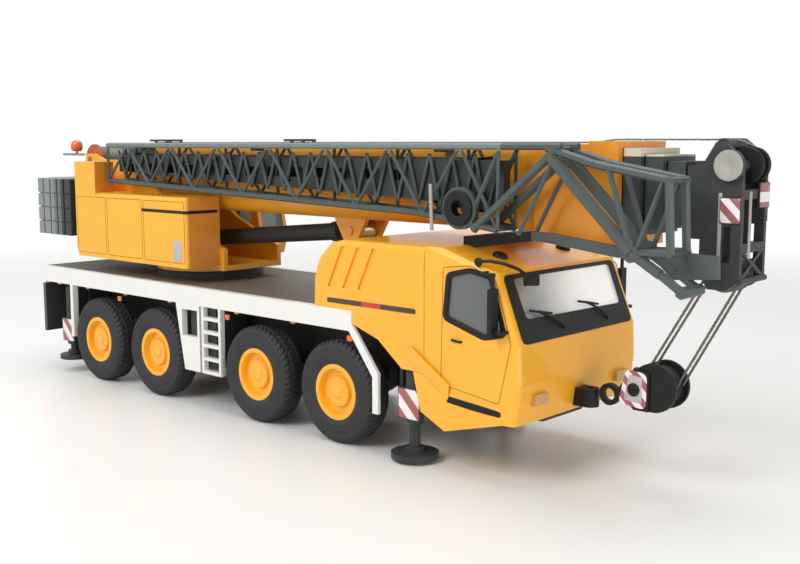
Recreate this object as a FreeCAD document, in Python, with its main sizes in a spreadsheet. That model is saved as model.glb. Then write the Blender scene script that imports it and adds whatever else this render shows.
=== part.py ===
import FreeCAD, Part
import Sketcher
import math
import os
import re
from FreeCAD import Vector

# Scale model of a four-axle mobile crane, in millimetres.
# +X points forward, +Y to the crane's left, +Z up; the floor is at Z = 0.

os.makedirs("parts", exist_ok=True)
doc = FreeCAD.newDocument("MobileCraneModel")

SIZES = {
    # Wheels, axles and steering
    "axle_1_x": 26.3,
    "axle_gap_front": 32,
    "axle_gap_middle": 48,
    "axle_gap_rear": 32,
    "half_width": 25.5,
    "tyre_radius": 13.7,
    "tyre_width": 7.5,
    "tyre_shoulder": 1.1,
    "tyre_fit": 0.05,
    "rim_radius": 7.4,
    "rim_width": 6.6,
    "rim_flange": 1.2,
    "rim_dish": 1.7,
    "rim_centre_radius": 4.3,
    "rim_centre_rise": 0.9,
    "rim_cap_wall": 0.8,
    "axle_radius": 1.15,
    "axle_play": 0.05,
    "kingpin_y": 14,
    "kingpin_radius": 1,
    "kingpin_eye_radius": 2.2,
    "kingpin_eye_height": 5,
    "knuckle_wall": 1.2,
    "knuckle_play": 0.3,
    "axle_beam_depth": 3.2,
    "axle_beam_height": 3.6,
    "spring_seat_y": 7,
    "spring_seat_width": 3,
    "spring_seat_length": 8,
    # Carrier frame and deck
    "frame_half_width": 8.5,
    "frame_bottom_z": 19,
    "frame_top_z": 30,
    "deck_rear_x": -119.1,
    "deck_front_x": 19,
    "deck_top_z": 35.9,
    "deck_thickness": 2.4,
    "deck_rail_half_width": 12,
    "band_depth": 2,
    "band_height": 5.3,
    "band_front_x": 32.8,
    "strip_foot_x": 42.1,
    "strip_knee_z": 19.8,
    "strip_foot_z": 10.5,
    "strip_width": 2,
    "strip_depth": 0.9,
    "side_panel_rear_x": -41.9,
    "side_panel_foot_x": -37.9,
    "side_panel_front_x": -30.5,
    "side_panel_foot_z": 10.7,
    "side_panel_hole_low_z": 21,
    "side_panel_hole_high_z": 29,
    "tool_box_rear_x": -37,
    "tool_box_front_x": -25,
    "tool_box_foot_z": 12,
    "ladder_rear_x": -29.5,
    "ladder_front_x": -20.6,
    "ladder_depth": 1.6,
    "ladder_bar": 1,
    "ladder_steps": 5,
    # Rear end
    "rear_beam_depth": 1.6,
    "rear_beam_bottom_z": 13,
    "coupling_z": 18,
    "coupling_radius": 2.2,
    "coupling_bore": 0.8,
    "coupling_reach": 2.4,
    # Outriggers
    "leg_box_wall": 1.2,
    "leg_box_half_length": 18,
    "leg_beam_play": 0.3,
    "rear_leg_setback": 9.5,
    "rear_leg_beam_width": 5.6,
    "rear_leg_low_z": 17,
    "rear_leg_high_z": 29,
    "front_leg_x": 48.6,
    "front_leg_beam_width": 3.6,
    "front_leg_low_z": 14.6,
    "front_leg_high_z": 22.8,
    "leg_beam_tail": 0.6,
    "jack_y": 21.9,
    "jack_sleeve_radius": 2.3,
    "jack_sleeve_foot_z": 9.5,
    "jack_rod_radius": 1.4,
    "jack_play": 0.06,
    "jack_rod_length": 17,
    "rear_float_radius": 5,
    "front_float_radius": 6,
    "float_thickness": 1.4,
    "rear_float_z": 4.5,
    "front_float_z": 0.8,
    "leg_plate_height": 8,
    "leg_plate_width": 7.2,
    "leg_plate_thickness": 0.8,
    # Engine hood
    "hood_rear_x": 19.3,
    "hood_shoulder_x": 19.6,
    "hood_shoulder_z": 43.3,
    "hood_brow_x": 21.5,
    "hood_brow_z": 49.6,
    "hood_crown_x": 25,
    "hood_crown_z": 52.9,
    "hood_top_rear_x": 29.3,
    "hood_top_z": 53.8,
    "hood_heel_gap": 3.7,
    "hood_skirt_drop": 6.2,
    "hood_step_drop": 3.2,
    "hood_wall": 1.5,
    "hood_round": 1.6,
    "hood_groove_depth": 0.5,
    "hood_groove_width": 1.5,
    "hood_groove_pitch": 5.4,
    "hood_groove_lean": 5.2,
    "hood_groove_foot_z": 41.5,
    "hood_groove_head_z": 52.2,
    "hood_grooves": 3,
    # Driver's cab
    "seam_x": 57.3,
    "seam_half": 0.1,
    "cab_roof_x": 62,
    "cab_roof_z": 53.9,
    "visor_x": 78.3,
    "visor_z": 49.2,
    "sill_x": 85,
    "sill_z": 33,
    "nose_x": 85.4,
    "nose_z": 24,
    "cab_foot_x": 84.2,
    "cab_foot_z": 14.7,
    "cab_rear_foot_x": 63.7,
    "cab_rear_foot_z": 10.2,
    "fender_x": 53.8,
    "fender_z": 23.4,
    "fender_foot_x": 56.2,
    "fender_foot_z": 13.8,
    "cab_wall": 1.4,
    "cab_floor_z": 21,
    "cab_tunnel_half_width": 9.2,
    "cab_tunnel_top_z": 19.4,
    "cab_round": 1.8,
    "windscreen_half_width": 22.4,
    "windscreen_low_z": 34.4,
    "windscreen_high_z": 47.6,
    "glass_thickness": 0.6,
    "glass_inset": 0.35,
    "seat_width": 9,
    "seat_y": 12.5,
    "seat_x": 68,
    "seat_z": 27.5,
    "seat_back_z": 39,
    "dash_z": 31.5,
    "steering_wheel_radius": 3.6,
    # Bumper, mirrors, lamps, roof bar
    "mirror_setback": 5.7,
    "mirror_y": 27.5,
    "mirror_width": 2.6,
    "mirror_depth": 1.2,
    "mirror_low_z": 35,
    "mirror_high_z": 46,
    "mirror_arm_radius": 0.45,
    "mirror_low_root_setback": 3.1,
    "mirror_high_root_setback": 2.5,
    "lamp_y": 17.5,
    "lamp_width": 5,
    "lamp_height": 2.6,
    "lamp_z": 20.2,
    "lamp_depth": 0.8,
    "marker_width": 1.6,
    "marker_height": 0.9,
    "marker_depth": 0.5,
    "roof_bar_x": 62.4,
    "roof_bar_half_length": 15,
    "roof_bar_depth": 3.4,
    "roof_bar_height": 2,
    # Turntable
    "slew_x": -57.5,
    "slew_ring_radius": 17,
    "slew_ring_height": 2.2,
    "slew_play": 0.3,
    "table_top_z": 40.8,
    "cheek_y": 10,
    "cheek_thickness": 1.5,
    "cheek_front_x": -36,
    "cheek_rear_x": -101.5,
    "cheek_top_z": 72.5,
    "cheek_front_rise": 5,
    "cheek_slope_run": 20,
    "cheek_slope_rise": 13,
    "cheek_head_reach": 10,
    "tower_front_x": -86.2,
    "drum_x": -109,
    "drum_z": 72.3,
    "drum_radius": 4,
    "drum_flange_radius": 5.4,
    "drum_flange_thickness": 0.8,
    "drum_shaft_radius": 1.2,
    "drum_bracket": 2.2,
    "rear_arm_reach": 17.5,
    "rear_arm_depth": 0.8,
    "beacon_x": -117.9,
    "beacon_rise": 2.8,
    "beacon_radius": 1.5,
    "housing_y": 24,
    "housing_front_x": -37.7,
    "housing_rear_x": -98.4,
    "housing_bottom_z": 40.8,
    "housing_top_z": 62,
    "housing_tower_z": 72,
    "tower_inner_y": 17,
    "tower_foot_rise": 2,
    "housing_round": 1.2,
    "left_housing_front_x": -76,
    "ballast_front_x": -101.8,
    "ballast_rear_x": -129,
    "ballast_half_width": 24,
    "ballast_chamfer_x": 6.5,
    "ballast_chamfer_y": 10,
    "ballast_bottom_z": 47,
    "ballast_top_z": 66,
    "ballast_slabs": 4,
    "ballast_groove": 0.5,
    "ballast_flutes": 4,
    "ballast_flute_pitch": 4.4,
    "ballast_flute_width": 0.8,
    # Crane operator's cab
    "operator_rear_x": -75,
    "operator_front_x": -47,
    "operator_low_z": 41.5,
    "operator_high_z": 62,
    "operator_inner_y": 12.6,
    "operator_outer_y": 24.4,
    "operator_wall": 1,
    "operator_nose_run": 2,
    "operator_nose_rise": 6,
    "operator_brow_run": 3,
    "operator_pane_low": 8,
    "operator_pane_high": 2,
    "operator_post": 3,
    "operator_front_post": 5,
    "operator_side_post": 1.4,
    "operator_glass": 0.6,
    "operator_glass_inset": 0.2,
    # Boom
    "boom_axis_z": 67.6,
    "luff_x": -95.7,
    "luff_z": 67,
    "luff_pin_radius": 2,
    "luff_play": 0.05,
    "boom_rear_x": -101.2,
    "boom_foot_radius": 5.5,
    "boom_taper_x": -82,
    "boom_front_x": 100,
    "boom_width": 19,
    "boom_height": 20.6,
    "boom_wall": 1,
    "boom_step": 2.8,
    "boom_belly_share": 0.55,
    "boom_cavity_x": -81,
    "section_step_rear": 3,
    "collar_length": 4.2,
    "collar_gap": 0.4,
    "collar_rise": 0.6,
    "nose_collar_x": 78,
    "nose_collar_drop": 1.9,
    "nose_collar_top_drop": 1.5,
    "nose_band_length": 7.4,
    "nose_band_rise": 0.7,
    "guide_rise": 1.4,
    "guide_plate": 0.7,
    "guide_half_width": 2.6,
    "guide_leg": 0.8,
    "guide_foot": 0.9,
    # Boom head
    "head_rear_x": 114.4,
    "head_post_x": 117.6,
    "head_front_x": 126.7,
    "head_half_width": 6.2,
    "head_cheek": 1.2,
    "head_low_z": 47.5,
    "head_neck_low_z": 58,
    "head_neck_high_z": 73.5,
    "crown_over_roller": 0.7,
    "head_slot_rear_x": 122.5,
    "head_slot_front_x": 124.5,
    "head_slot_low_z": 53.4,
    "head_slot_high_z": 61,
    "head_bar": 2,
    "head_low_bar_z": 55.4,
    "head_high_bar_z": 66.6,
    "head_brace": 1,
    "head_plate_length": 4.6,
    "head_plate_height": 5.4,
    "head_plate_low_z": 61.6,
    "head_plate_thickness": 0.4,
    "crown_roller_x": 121.6,
    "crown_roller_z": 77.7,
    "crown_roller_radius": 1.5,
    "top_sheave_x": 125.2,
    "top_sheave_z": 73.6,
    "top_sheave_radius": 3.8,
    "low_sheave_x": 121.8,
    "low_sheave_z": 50.6,
    "sheave_radius": 4,
    "sheave_width": 1.4,
    "sheave_bore": 1.2,
    "head_disc_radius": 3.3,
    "head_disc_depth": 1.2,
    # Lift cylinder
    "lift_foot_x": -68,
    "lift_foot_z": 46.6,
    "lift_eye_x": 12,
    "lift_eye_z": 53.8,
    "lift_barrel_radius": 2.5,
    "lift_barrel_collar": 0.4,
    "lift_barrel_collar_length": 3,
    "lift_rod_radius": 1.5,
    "lift_barrel_length": 72,
    "lift_eye_lug_root": 6.5,
    "lift_eye_lug_tip": 2.6,
    "lift_pin_radius": 1.2,
    "lift_pin_head": 0.5,
    "lift_eye_radius": 2.6,
    "lift_play": 0.06,
    "lift_lug_y": 3.6,
    "lift_lug_thickness": 1.4,
    # Jib stowed beside the boom
    "jib_inner_y": -13.6,
    "jib_outer_y": -20.4,
    "jib_rear_x": -83.7,
    "jib_knee_x": 50,
    "jib_front_x": 75,
    "jib_top_z": 77.4,
    "jib_rear_low_z": 66,
    "jib_knee_low_z": 61.4,
    "jib_front_low_z": 58.5,
    "jib_bays": 14,
    "jib_chord_radius": 0.8,
    "jib_brace_radius": 0.45,
    "jib_foot_length": 3,
    "inner_jib_low_rise": 3,
    "inner_jib_top_drop": 3.2,
    "inner_jib_depth": 2.4,
    "inner_jib_window_length": 5,
    "inner_jib_window_height": 2.6,
    "jib_split_ahead": 1,
    "jib_ring_x": 64.1,
    "jib_ring_z": 63,
    "jib_ring_radius": 5,
    "jib_ring_bore": 3.2,
    "jib_ring_depth": 1.4,
    "jib_beam_depth": 1.6,
    # Hook block on its rope falls
    "hook_x": 106.3,
    "hook_z": 23.5,
    "hook_sheave_radius": 4.6,
    "hook_cheek_radius": 5.6,
    "hook_half_width": 3.4,
    "hook_cheek": 0.8,
    "hook_plate": 0.5,
    "hook_plate_reach": 9.1,
    "hook_ring_x": 93.3,
    "hook_ring_z": 19.6,
    "hook_ring_radius": 2.6,
    "hook_ring_bar": 1.1,
    "hook_shank_half": 0.7,
    "fall_radius": 0.35,
    "fall_pitch": 1.5,
}

PLACES = {
    "rear_leg_x": "deck_rear_x + rear_leg_setback",
    "mirror_x": "sill_x - mirror_setback",
    "axle_2_x": "axle_1_x - axle_gap_front",
    "axle_3_x": "axle_2_x - axle_gap_middle",
    "axle_4_x": "axle_3_x - axle_gap_rear",
    "tyre_middle_y": "half_width - tyre_width / 2",
    "rim_inner_y": "tyre_middle_y - rim_width / 2",
    "band_bottom_z": "deck_top_z - band_height",
    "deck_half_width": "half_width - band_depth",
    "rear_box_rear_x": "rear_leg_x - rear_leg_beam_width - leg_box_wall * 3 / 2 - leg_beam_play * 2",
    "rear_box_front_x": "rear_leg_x + rear_leg_beam_width + leg_box_wall * 3 / 2 + leg_beam_play * 2",
    "front_box_rear_x": "front_leg_x - front_leg_beam_width - leg_box_wall * 3 / 2 - leg_beam_play * 2",
    "front_box_front_x": "front_leg_x + front_leg_beam_width + leg_box_wall * 3 / 2 + leg_beam_play * 2",
    "cheek_outer_y": "cheek_y + cheek_thickness",
    "boom_top_z": "boom_axis_z + boom_height / 2",
    "boom_bottom_z": "boom_axis_z - boom_height / 2",
}

sheet = doc.addObject("Spreadsheet::Sheet", "dims")
for row, (alias, number) in enumerate(SIZES.items(), start=1):
    sheet.set(f"A{row}", alias)
    sheet.set(f"B{row}", str(number))
    sheet.setAlias(f"B{row}", alias)
doc.recompute()

WORD = re.compile(r"\b[a-z][a-z_0-9]*\b")
AXES = {"x": Vector(1, 0, 0), "y": Vector(0, 1, 0), "z": Vector(0, 0, 1)}
TURNS = {
    "x": FreeCAD.Rotation(Vector(0, 1, 0), 90),
    "y": FreeCAD.Rotation(Vector(1, 0, 0), -90),
    "z": FreeCAD.Rotation(),
}
NODES = []


def bind(formula):
    """A formula of size names, spelt with the sheet's own cells."""
    def spell(match):
        word = match.group(0)
        if word in PLACES:
            return "(" + bind(PLACES[word]) + ")"
        if word in SIZES:
            return "dims." + word
        return word
    return WORD.sub(spell, str(formula))


def value(formula):
    """The formula's present value."""
    return float(sheet.evalExpression(bind(formula)))


def point(x, y, z):
    return Vector(value(x), value(y), value(z))


def place(piece, x, y, z):
    """Bind a piece's origin to three formulas."""
    for axis, formula in zip("xyz", (x, y, z)):
        piece.setExpression("Placement.Base." + axis, bind(formula))


def box(name, xs, ys, zs):
    """A block between two formulas along each axis."""
    piece = doc.addObject("Part::Box", name)
    for size, (low, high) in zip(("Length", "Width", "Height"), (xs, ys, zs)):
        piece.setExpression(size, bind(f"({high}) - ({low})"))
    place(piece, xs[0], ys[0], zs[0])
    return piece


def rod(name, axis, start, length, radius):
    """A round bar that starts at a point and runs along one axis."""
    piece = doc.addObject("Part::Cylinder", name)
    piece.Placement = FreeCAD.Placement(Vector(), TURNS[axis])
    piece.setExpression("Radius", bind(radius))
    piece.setExpression("Height", bind(length))
    place(piece, *start)
    return piece


def outline(body, plane, points):
    """A closed outline of straight sides on one of a body's own planes."""
    sketch = body.newObject("Sketcher::SketchObject", body.Name + "_outline")
    faces = [face for face in body.Origin.OriginFeatures if face.Role == plane + "_Plane"]
    sketch.AttachmentSupport = [(faces[0], "")]
    sketch.MapMode = "FlatFace"
    corners = [Vector(value(across), value(up), 0) for across, up in points]
    count = len(corners)
    sides = [Part.LineSegment(corners[i], corners[(i + 1) % count]) for i in range(count)]
    sketch.addGeometry(sides, False)
    rules = [Sketcher.Constraint("Coincident", i, 2, (i + 1) % count, 1) for i in range(count)]
    for i, corner in enumerate(corners):
        rules.append(Sketcher.Constraint("DistanceX", -1, 1, i, 1, corner.x))
        rules.append(Sketcher.Constraint("DistanceY", -1, 1, i, 1, corner.y))
    sketch.addConstraint(rules)
    for i, (across, up) in enumerate(points):
        sketch.setExpression(f"Constraints[{count + 2 * i}]", bind(across))
        sketch.setExpression(f"Constraints[{count + 2 * i + 1}]", bind(up))
    return sketch


def prism(name, plane, low, high, points):
    """An outline on a plane, carried from one formula to another square to it."""
    body = doc.addObject("PartDesign::Body", name)
    sketch = outline(body, plane, points)
    start = f"-({high})" if plane == "XZ" else low
    sketch.setExpression("AttachmentOffset.Base.z", bind(start))
    pad = body.newObject("PartDesign::Pad", name + "_pad")
    pad.Profile = sketch
    pad.setExpression("Length", bind(f"({high}) - ({low})"))
    return body


def turned(name, points, x, y, z):
    """A profile of (radius, place along Y) turned about the Y axis through a point."""
    body = doc.addObject("PartDesign::Body", name)
    sketch = outline(body, "XY", points)
    turn = body.newObject("PartDesign::Revolution", name + "_turn")
    turn.Profile = sketch
    turn.ReferenceAxis = (sketch, ["V_Axis"])
    turn.Angle = 360
    place(body, x, y, z)
    return body


def soften(body, radius, wanted):
    """Round the edges of a body for which wanted(middle, direction) holds."""
    doc.recompute()
    base = body.Tip
    names = []
    for i, edge in enumerate(base.Shape.Edges, start=1):
        first, last = edge.Vertexes[0].Point, edge.Vertexes[-1].Point
        if first != last and wanted((first + last) / 2, (last - first).normalize()):
            names.append(f"Edge{i}")
    fillet = body.newObject("PartDesign::Fillet", body.Name + "_round")
    fillet.Base = (base, names)
    fillet.setExpression("Radius", bind(radius))
    return body


def joined(name, pieces):
    """Pieces fused into one solid."""
    fuse = doc.addObject("Part::MultiFuse", name)
    fuse.Shapes = pieces
    return fuse


def cut(name, base, tools):
    """A piece with others taken away from it."""
    result = doc.addObject("Part::Cut", name)
    result.Base = base
    result.Tool = tools[0] if len(tools) == 1 else joined(name + "_tools", tools)
    return result


def group(name, pieces):
    """Solids of one node that stand apart from each other."""
    compound = doc.addObject("Part::Compound", name)
    compound.Links = pieces
    return compound


def mirrored(name, source):
    """The same piece on the other side of the centre plane."""
    mirror = doc.addObject("Part::Mirroring", name)
    mirror.Source = source
    mirror.Normal = AXES["y"]
    return mirror


def both_sides(name, source):
    """A right-hand piece and its left-hand twin in one node."""
    return group(name, [source, mirrored(name + "_left", source)])


def node(name, piece):
    """Name a finished sub-part; its file takes this name."""
    piece.Label = name
    NODES.append(piece)
    return piece


def solid_of(name, shape):
    """A sub-part whose shape is worked out from the sheet's values."""
    piece = doc.addObject("Part::Feature", name)
    piece.Shape = shape
    return piece


def bar(start, end, radius):
    """A round bar between two points."""
    return Part.makeCylinder(radius, (end - start).Length, start, end - start)


# Wheels: each tyre sits on a dished rim with a raised centre
SIDES = {"R": -1, "L": 1}


def tyre(name, side, x):
    """A tyre with chamfered shoulders, turned about its axle."""
    half = "tyre_width / 2"
    crown = "tyre_radius"
    wall = "tyre_radius - tyre_shoulder"
    edge = "(tyre_width / 2 - tyre_shoulder)"
    profile = [
        ("rim_radius + tyre_fit", f"-{half}"),
        (wall, f"-{half}"),
        (crown, f"-{edge}"),
        (crown, edge),
        (wall, half),
        ("rim_radius + tyre_fit", half),
    ]
    return turned(name, profile, x, f"{side} * tyre_middle_y", "tyre_radius")


def rim(name, side, x, bored):
    """A dished rim; a bored one runs on a stub axle."""
    face = "rim_width / 2"
    floor = "(rim_width / 2 - rim_dish)"
    centre = "(rim_width / 2 - rim_dish + rim_centre_rise)"
    bore = "axle_radius + axle_play"
    profile = [
        ("rim_radius", f"-{side} * {face}"),
        ("rim_radius", f"{side} * {face}"),
        ("rim_radius - rim_flange", f"{side} * {face}"),
        ("rim_radius - rim_flange * 5 / 4", f"{side} * {floor}"),
        ("rim_centre_radius", f"{side} * {floor}"),
        ("rim_centre_radius * 9 / 10", f"{side} * {centre}"),
        ("0", f"{side} * {centre}"),
    ]
    if bored:
        end = "(rim_width / 2 - rim_dish + rim_centre_rise - rim_cap_wall)"
        profile += [("0", f"{side} * {end}"), (bore, f"{side} * {end}")]
        profile += [(bore, f"-{side} * {face}")]
    else:
        profile += [("0", f"-{side} * {face}")]
    return turned(name, profile, x, f"{side} * tyre_middle_y", "tyre_radius")


def knuckle(name, side, x):
    """A steering knuckle: two jaws on the kingpin, a web and the wheel's stub axle."""
    def across(inner, outer):
        low, high = (inner, outer) if side > 0 else (f"-({outer})", f"-({inner})")
        return (low, high)
    half = "kingpin_eye_height / 2 + knuckle_play"
    web_y = "kingpin_y + kingpin_eye_radius + knuckle_play"
    web_end = f"{web_y} + knuckle_wall"
    depth = (f"{x} - kingpin_eye_radius", f"{x} + kingpin_eye_radius")
    jaw_y = across("kingpin_y - kingpin_radius * 3 / 2", web_end)
    top = (f"tyre_radius + {half}", f"tyre_radius + {half} + knuckle_wall")
    foot = (f"tyre_radius - ({half}) - knuckle_wall", f"tyre_radius - ({half})")
    pieces = [
        box(name + "_top", depth, jaw_y, top),
        box(name + "_foot", depth, jaw_y, foot),
        box(name + "_web", depth, across(web_y, web_end), (foot[0], top[1])),
        rod(name + "_pin", "z", (x, f"{side} * kingpin_y", foot[0]),
            f"2 * ({half} + knuckle_wall)", "kingpin_radius"),
    ]
    reach = "tyre_middle_y + rim_width / 2 - rim_dish + rim_centre_rise - rim_cap_wall - knuckle_play"
    start, end = across(web_y, reach)
    pieces.append(rod(name + "_stub", "y", (x, start, "tyre_radius"),
                      f"({end}) - ({start})", "axle_radius"))
    return joined(name, pieces)


for axle in (1, 2):
    for letter, side in SIDES.items():
        x = f"axle_{axle}_x"
        mark = f"{axle}{letter}"
        node(f"tyre_{mark}", tyre(f"tyre_{mark}", side, x))
        node(f"rim_{mark}", rim(f"rim_{mark}", side, x, True))
        node(f"knuckle_{mark}", knuckle(f"knuckle_{mark}", side, x))

for axle in (3, 4):
    x = f"axle_{axle}_x"
    node(f"tyres_{axle}", group(f"tyres_{axle}", [
        tyre(f"tyre_{axle}{letter}", side, x) for letter, side in SIDES.items()]))
    rims = [rim(f"rim_{axle}{letter}", side, x, False) for letter, side in SIDES.items()]
    shaft = rod(f"shaft_{axle}", "y", (x, "-tyre_middle_y", "tyre_radius"),
                "2 * tyre_middle_y", "axle_radius")
    node(f"wheelset_{axle}", joined(f"wheelset_{axle}", rims + [shaft]))

# Axle beams: the two front ones carry kingpins, the two rear ones a through shaft
beams = []
for axle in (1, 2, 3, 4):
    x = f"axle_{axle}_x"
    steered = axle < 3
    end_y = "kingpin_y" if steered else "rim_inner_y - knuckle_play * 2"
    depth = (f"{x} - axle_beam_depth / 2", f"{x} + axle_beam_depth / 2")
    height = ("tyre_radius - axle_beam_height / 2", "tyre_radius + axle_beam_height / 2")
    pieces = [
        box(f"axle_{axle}_beam", depth, (f"-({end_y})", end_y), height),
        rod(f"axle_{axle}_drive", "x", (f"{x} - axle_beam_depth", "0", "tyre_radius"),
            "2 * axle_beam_depth", "axle_beam_height * 3 / 4"),
    ]
    for letter, side in SIDES.items():
        seat = (f"{side} * spring_seat_y - spring_seat_width / 2",
                f"{side} * spring_seat_y + spring_seat_width / 2")
        pieces.append(box(f"axle_{axle}_seat_{letter}",
                          (f"{x} - spring_seat_length / 2", f"{x} + spring_seat_length / 2"),
                          seat, ("tyre_radius + axle_beam_height / 4", "frame_bottom_z")))
        if steered:
            pieces.append(rod(f"axle_{axle}_eye_{letter}", "z",
                              (x, f"{side} * kingpin_y", "tyre_radius - kingpin_eye_height / 2"),
                              "kingpin_eye_height", "kingpin_eye_radius"))
    if steered:
        bores = [rod(f"axle_{axle}_bore_{letter}", "z",
                     (x, f"{side} * kingpin_y", "tyre_radius - kingpin_eye_height"),
                     "2 * kingpin_eye_height", "kingpin_radius + axle_play")
                 for letter, side in SIDES.items()]
    else:
        bores = [rod(f"axle_{axle}_bore", "y", (x, "-half_width", "tyre_radius"),
                     "2 * half_width", "axle_radius + axle_play")]
    beams.append(cut(f"axle_beam_{axle}", joined(f"axle_{axle}_body", pieces), bores))
node("axle_beams", group("axle_beams", beams))

# Carrier frame: a box beam with a dropped nose under the cab
frame_profile = [
    ("rear_box_front_x", "frame_bottom_z"),
    ("front_box_rear_x", "frame_bottom_z"),
    ("front_box_front_x", "frame_bottom_z"),
    ("fender_foot_x", "cab_rear_foot_z + 2"),
    ("cab_foot_x - 4", "cab_rear_foot_z + 2"),
    ("cab_foot_x - 4", "cab_tunnel_top_z - 0.2"),
    ("front_box_front_x", "cab_tunnel_top_z - 0.2"),
    ("front_box_front_x", "fender_z"),
    ("front_box_rear_x", "frame_top_z"),
    ("rear_box_front_x", "frame_top_z"),
]
frame_beam = prism("frame_beam", "XZ", "-frame_half_width", "frame_half_width", frame_profile)
front_leg_gap = box("front_leg_gap", ("front_box_rear_x", "front_box_front_x"),
                    ("-half_width", "half_width"),
                    ("front_leg_low_z - leg_box_wall - leg_beam_play",
                     "front_leg_high_z + leg_box_wall + leg_beam_play"))
node("chassis_frame", cut("chassis_frame", frame_beam, [front_leg_gap]))

# Deck: a plate on a rail, with the ring that the turntable turns on
deck_plate = box("deck_plate", ("deck_rear_x", "deck_front_x"),
                 ("-deck_half_width", "deck_half_width"),
                 ("deck_top_z - deck_thickness", "deck_top_z"))
deck_rail = box("deck_rail", ("deck_rear_x", "deck_front_x"),
                ("-deck_rail_half_width", "deck_rail_half_width"),
                ("frame_top_z", "deck_top_z - deck_thickness"))
leg_clearance = box("rear_leg_clearance", ("rear_box_rear_x", "rear_box_front_x"),
                    ("-half_width", "half_width"),
                    ("rear_leg_low_z", "rear_leg_high_z + leg_box_wall + leg_beam_play"))
node("deck", cut("deck", joined("deck_body", [deck_plate, deck_rail]), [leg_clearance]))
node("slewing_ring", rod("slewing_ring", "z", ("slew_x", "0", "deck_top_z"),
                         "slew_ring_height", "slew_ring_radius"))

# White side bands with the sloping strip in front and the panel before axle 3
RIGHT = ("-half_width", "-(half_width - band_depth)")
STRIP = ("-half_width", "-(half_width - strip_depth)")
band = [
    ("deck_rear_x", "band_bottom_z"),
    ("band_front_x - strip_width / 2", "band_bottom_z"),
    ("band_front_x", "band_bottom_z + strip_width"),
    ("band_front_x", "deck_top_z"),
    ("deck_rear_x", "deck_top_z"),
]
strip = [
    ("band_front_x - 2 * strip_width", "band_bottom_z"),
    ("band_front_x - strip_width / 2", "band_bottom_z"),
    ("strip_foot_x - strip_width", "strip_knee_z"),
    ("strip_foot_x - strip_width", "strip_foot_z"),
    ("strip_foot_x", "strip_foot_z"),
    ("strip_foot_x", "strip_knee_z + strip_width / 2"),
    ("band_front_x", "band_bottom_z + strip_width"),
    ("band_front_x - 2 * strip_width", "band_bottom_z + strip_width"),
]
panel = [
    ("side_panel_rear_x", "band_bottom_z"),
    ("side_panel_foot_x", "side_panel_foot_z"),
    ("side_panel_front_x", "side_panel_foot_z"),
    ("side_panel_front_x", "band_bottom_z"),
]
panel_hole = box("side_panel_hole",
                 ("side_panel_foot_x - strip_width / 2", "side_panel_front_x - strip_width / 2"),
                 RIGHT, ("side_panel_hole_low_z", "side_panel_hole_high_z"))
band_pieces = [
    prism("side_rail", "XZ", *RIGHT, band),
    prism("side_strip", "XZ", *STRIP, strip),
    cut("side_panel", prism("side_panel_plate", "XZ", *RIGHT, panel), [panel_hole]),
    box("rear_post", ("deck_rear_x", "deck_rear_x + rear_beam_depth"), RIGHT,
        ("rear_beam_bottom_z", "band_bottom_z")),
    box("leg_post", ("rear_box_front_x", "rear_box_front_x + rear_beam_depth"), RIGHT,
        ("rear_beam_bottom_z", "band_bottom_z")),
]
node("side_bands", both_sides("side_bands", joined("side_band", band_pieces)))

# Tool boxes stand behind the panels and carry them
node("tool_boxes", both_sides("tool_boxes", box(
    "tool_box", ("tool_box_rear_x", "tool_box_front_x"),
    ("-(half_width - band_depth)", "-deck_rail_half_width"),
    ("tool_box_foot_z", "deck_top_z - deck_thickness"))))

# Ladders: two rails and the treads between them
ladder_pitch = "(deck_top_z - band_height - side_panel_foot_z) / ladder_steps"
ladder_y = ("-half_width", "ladder_depth - half_width")
ladder_z = ("side_panel_foot_z", "band_bottom_z")
rungs = [
    box("ladder_rail_rear", ("ladder_rear_x", "ladder_rear_x + ladder_bar"), ladder_y, ladder_z),
    box("ladder_rail_front", ("ladder_front_x - ladder_bar", "ladder_front_x"), ladder_y, ladder_z),
]
for step in range(int(value("ladder_steps"))):
    low = f"side_panel_foot_z + {step} * ({ladder_pitch})"
    rungs.append(box(f"ladder_tread_{step + 1}", ("ladder_rear_x", "ladder_front_x"), ladder_y,
                     (low, f"{low} + ladder_bar")))
node("ladders", both_sides("ladders", joined("ladder", rungs)))

# Rear cross beam with its towing eye
rear_plate = box("rear_plate", ("deck_rear_x", "rear_box_rear_x"),
                 ("-deck_half_width", "deck_half_width"), ("rear_beam_bottom_z", "frame_top_z"))
rear_boss = rod("rear_boss", "z", ("deck_rear_x - coupling_reach", "0",
                "coupling_z - coupling_radius"), "2 * coupling_radius", "coupling_radius")
rear_arm = box("rear_arm", ("deck_rear_x - coupling_reach", "deck_rear_x"),
               ("-coupling_radius", "coupling_radius"),
               ("coupling_z - coupling_radius", "coupling_z + coupling_radius"))
rear_bore = rod("rear_bore", "z", ("deck_rear_x - coupling_reach", "0",
                "coupling_z - 2 * coupling_radius"), "4 * coupling_radius", "coupling_bore")
node("rear_beam", cut("rear_beam", joined("rear_beam_body", [rear_plate, rear_boss, rear_arm]),
                      [rear_bore]))

# Outrigger boxes: a cross tube with one channel for each of its two beams
LEGS = (
    # end, letter, channel centre, channels of the box
    ("rear", "R", "rear_leg_x + (rear_leg_beam_width + leg_box_wall) / 2 + leg_beam_play"),
    ("rear", "L", "rear_leg_x - (rear_leg_beam_width + leg_box_wall) / 2 - leg_beam_play"),
    ("front", "R", "front_leg_x + (front_leg_beam_width + leg_box_wall) / 2 + leg_beam_play"),
    ("front", "L", "front_leg_x - (front_leg_beam_width + leg_box_wall) / 2 - leg_beam_play"),
)


def leg_span(end, centre, margin):
    half = f"({end}_leg_beam_width / 2 + {margin})"
    return (f"{centre} - {half}", f"{centre} + {half}")


def leg_height(end, margin):
    return (f"{end}_leg_low_z - ({margin})", f"{end}_leg_high_z + ({margin})")


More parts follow.
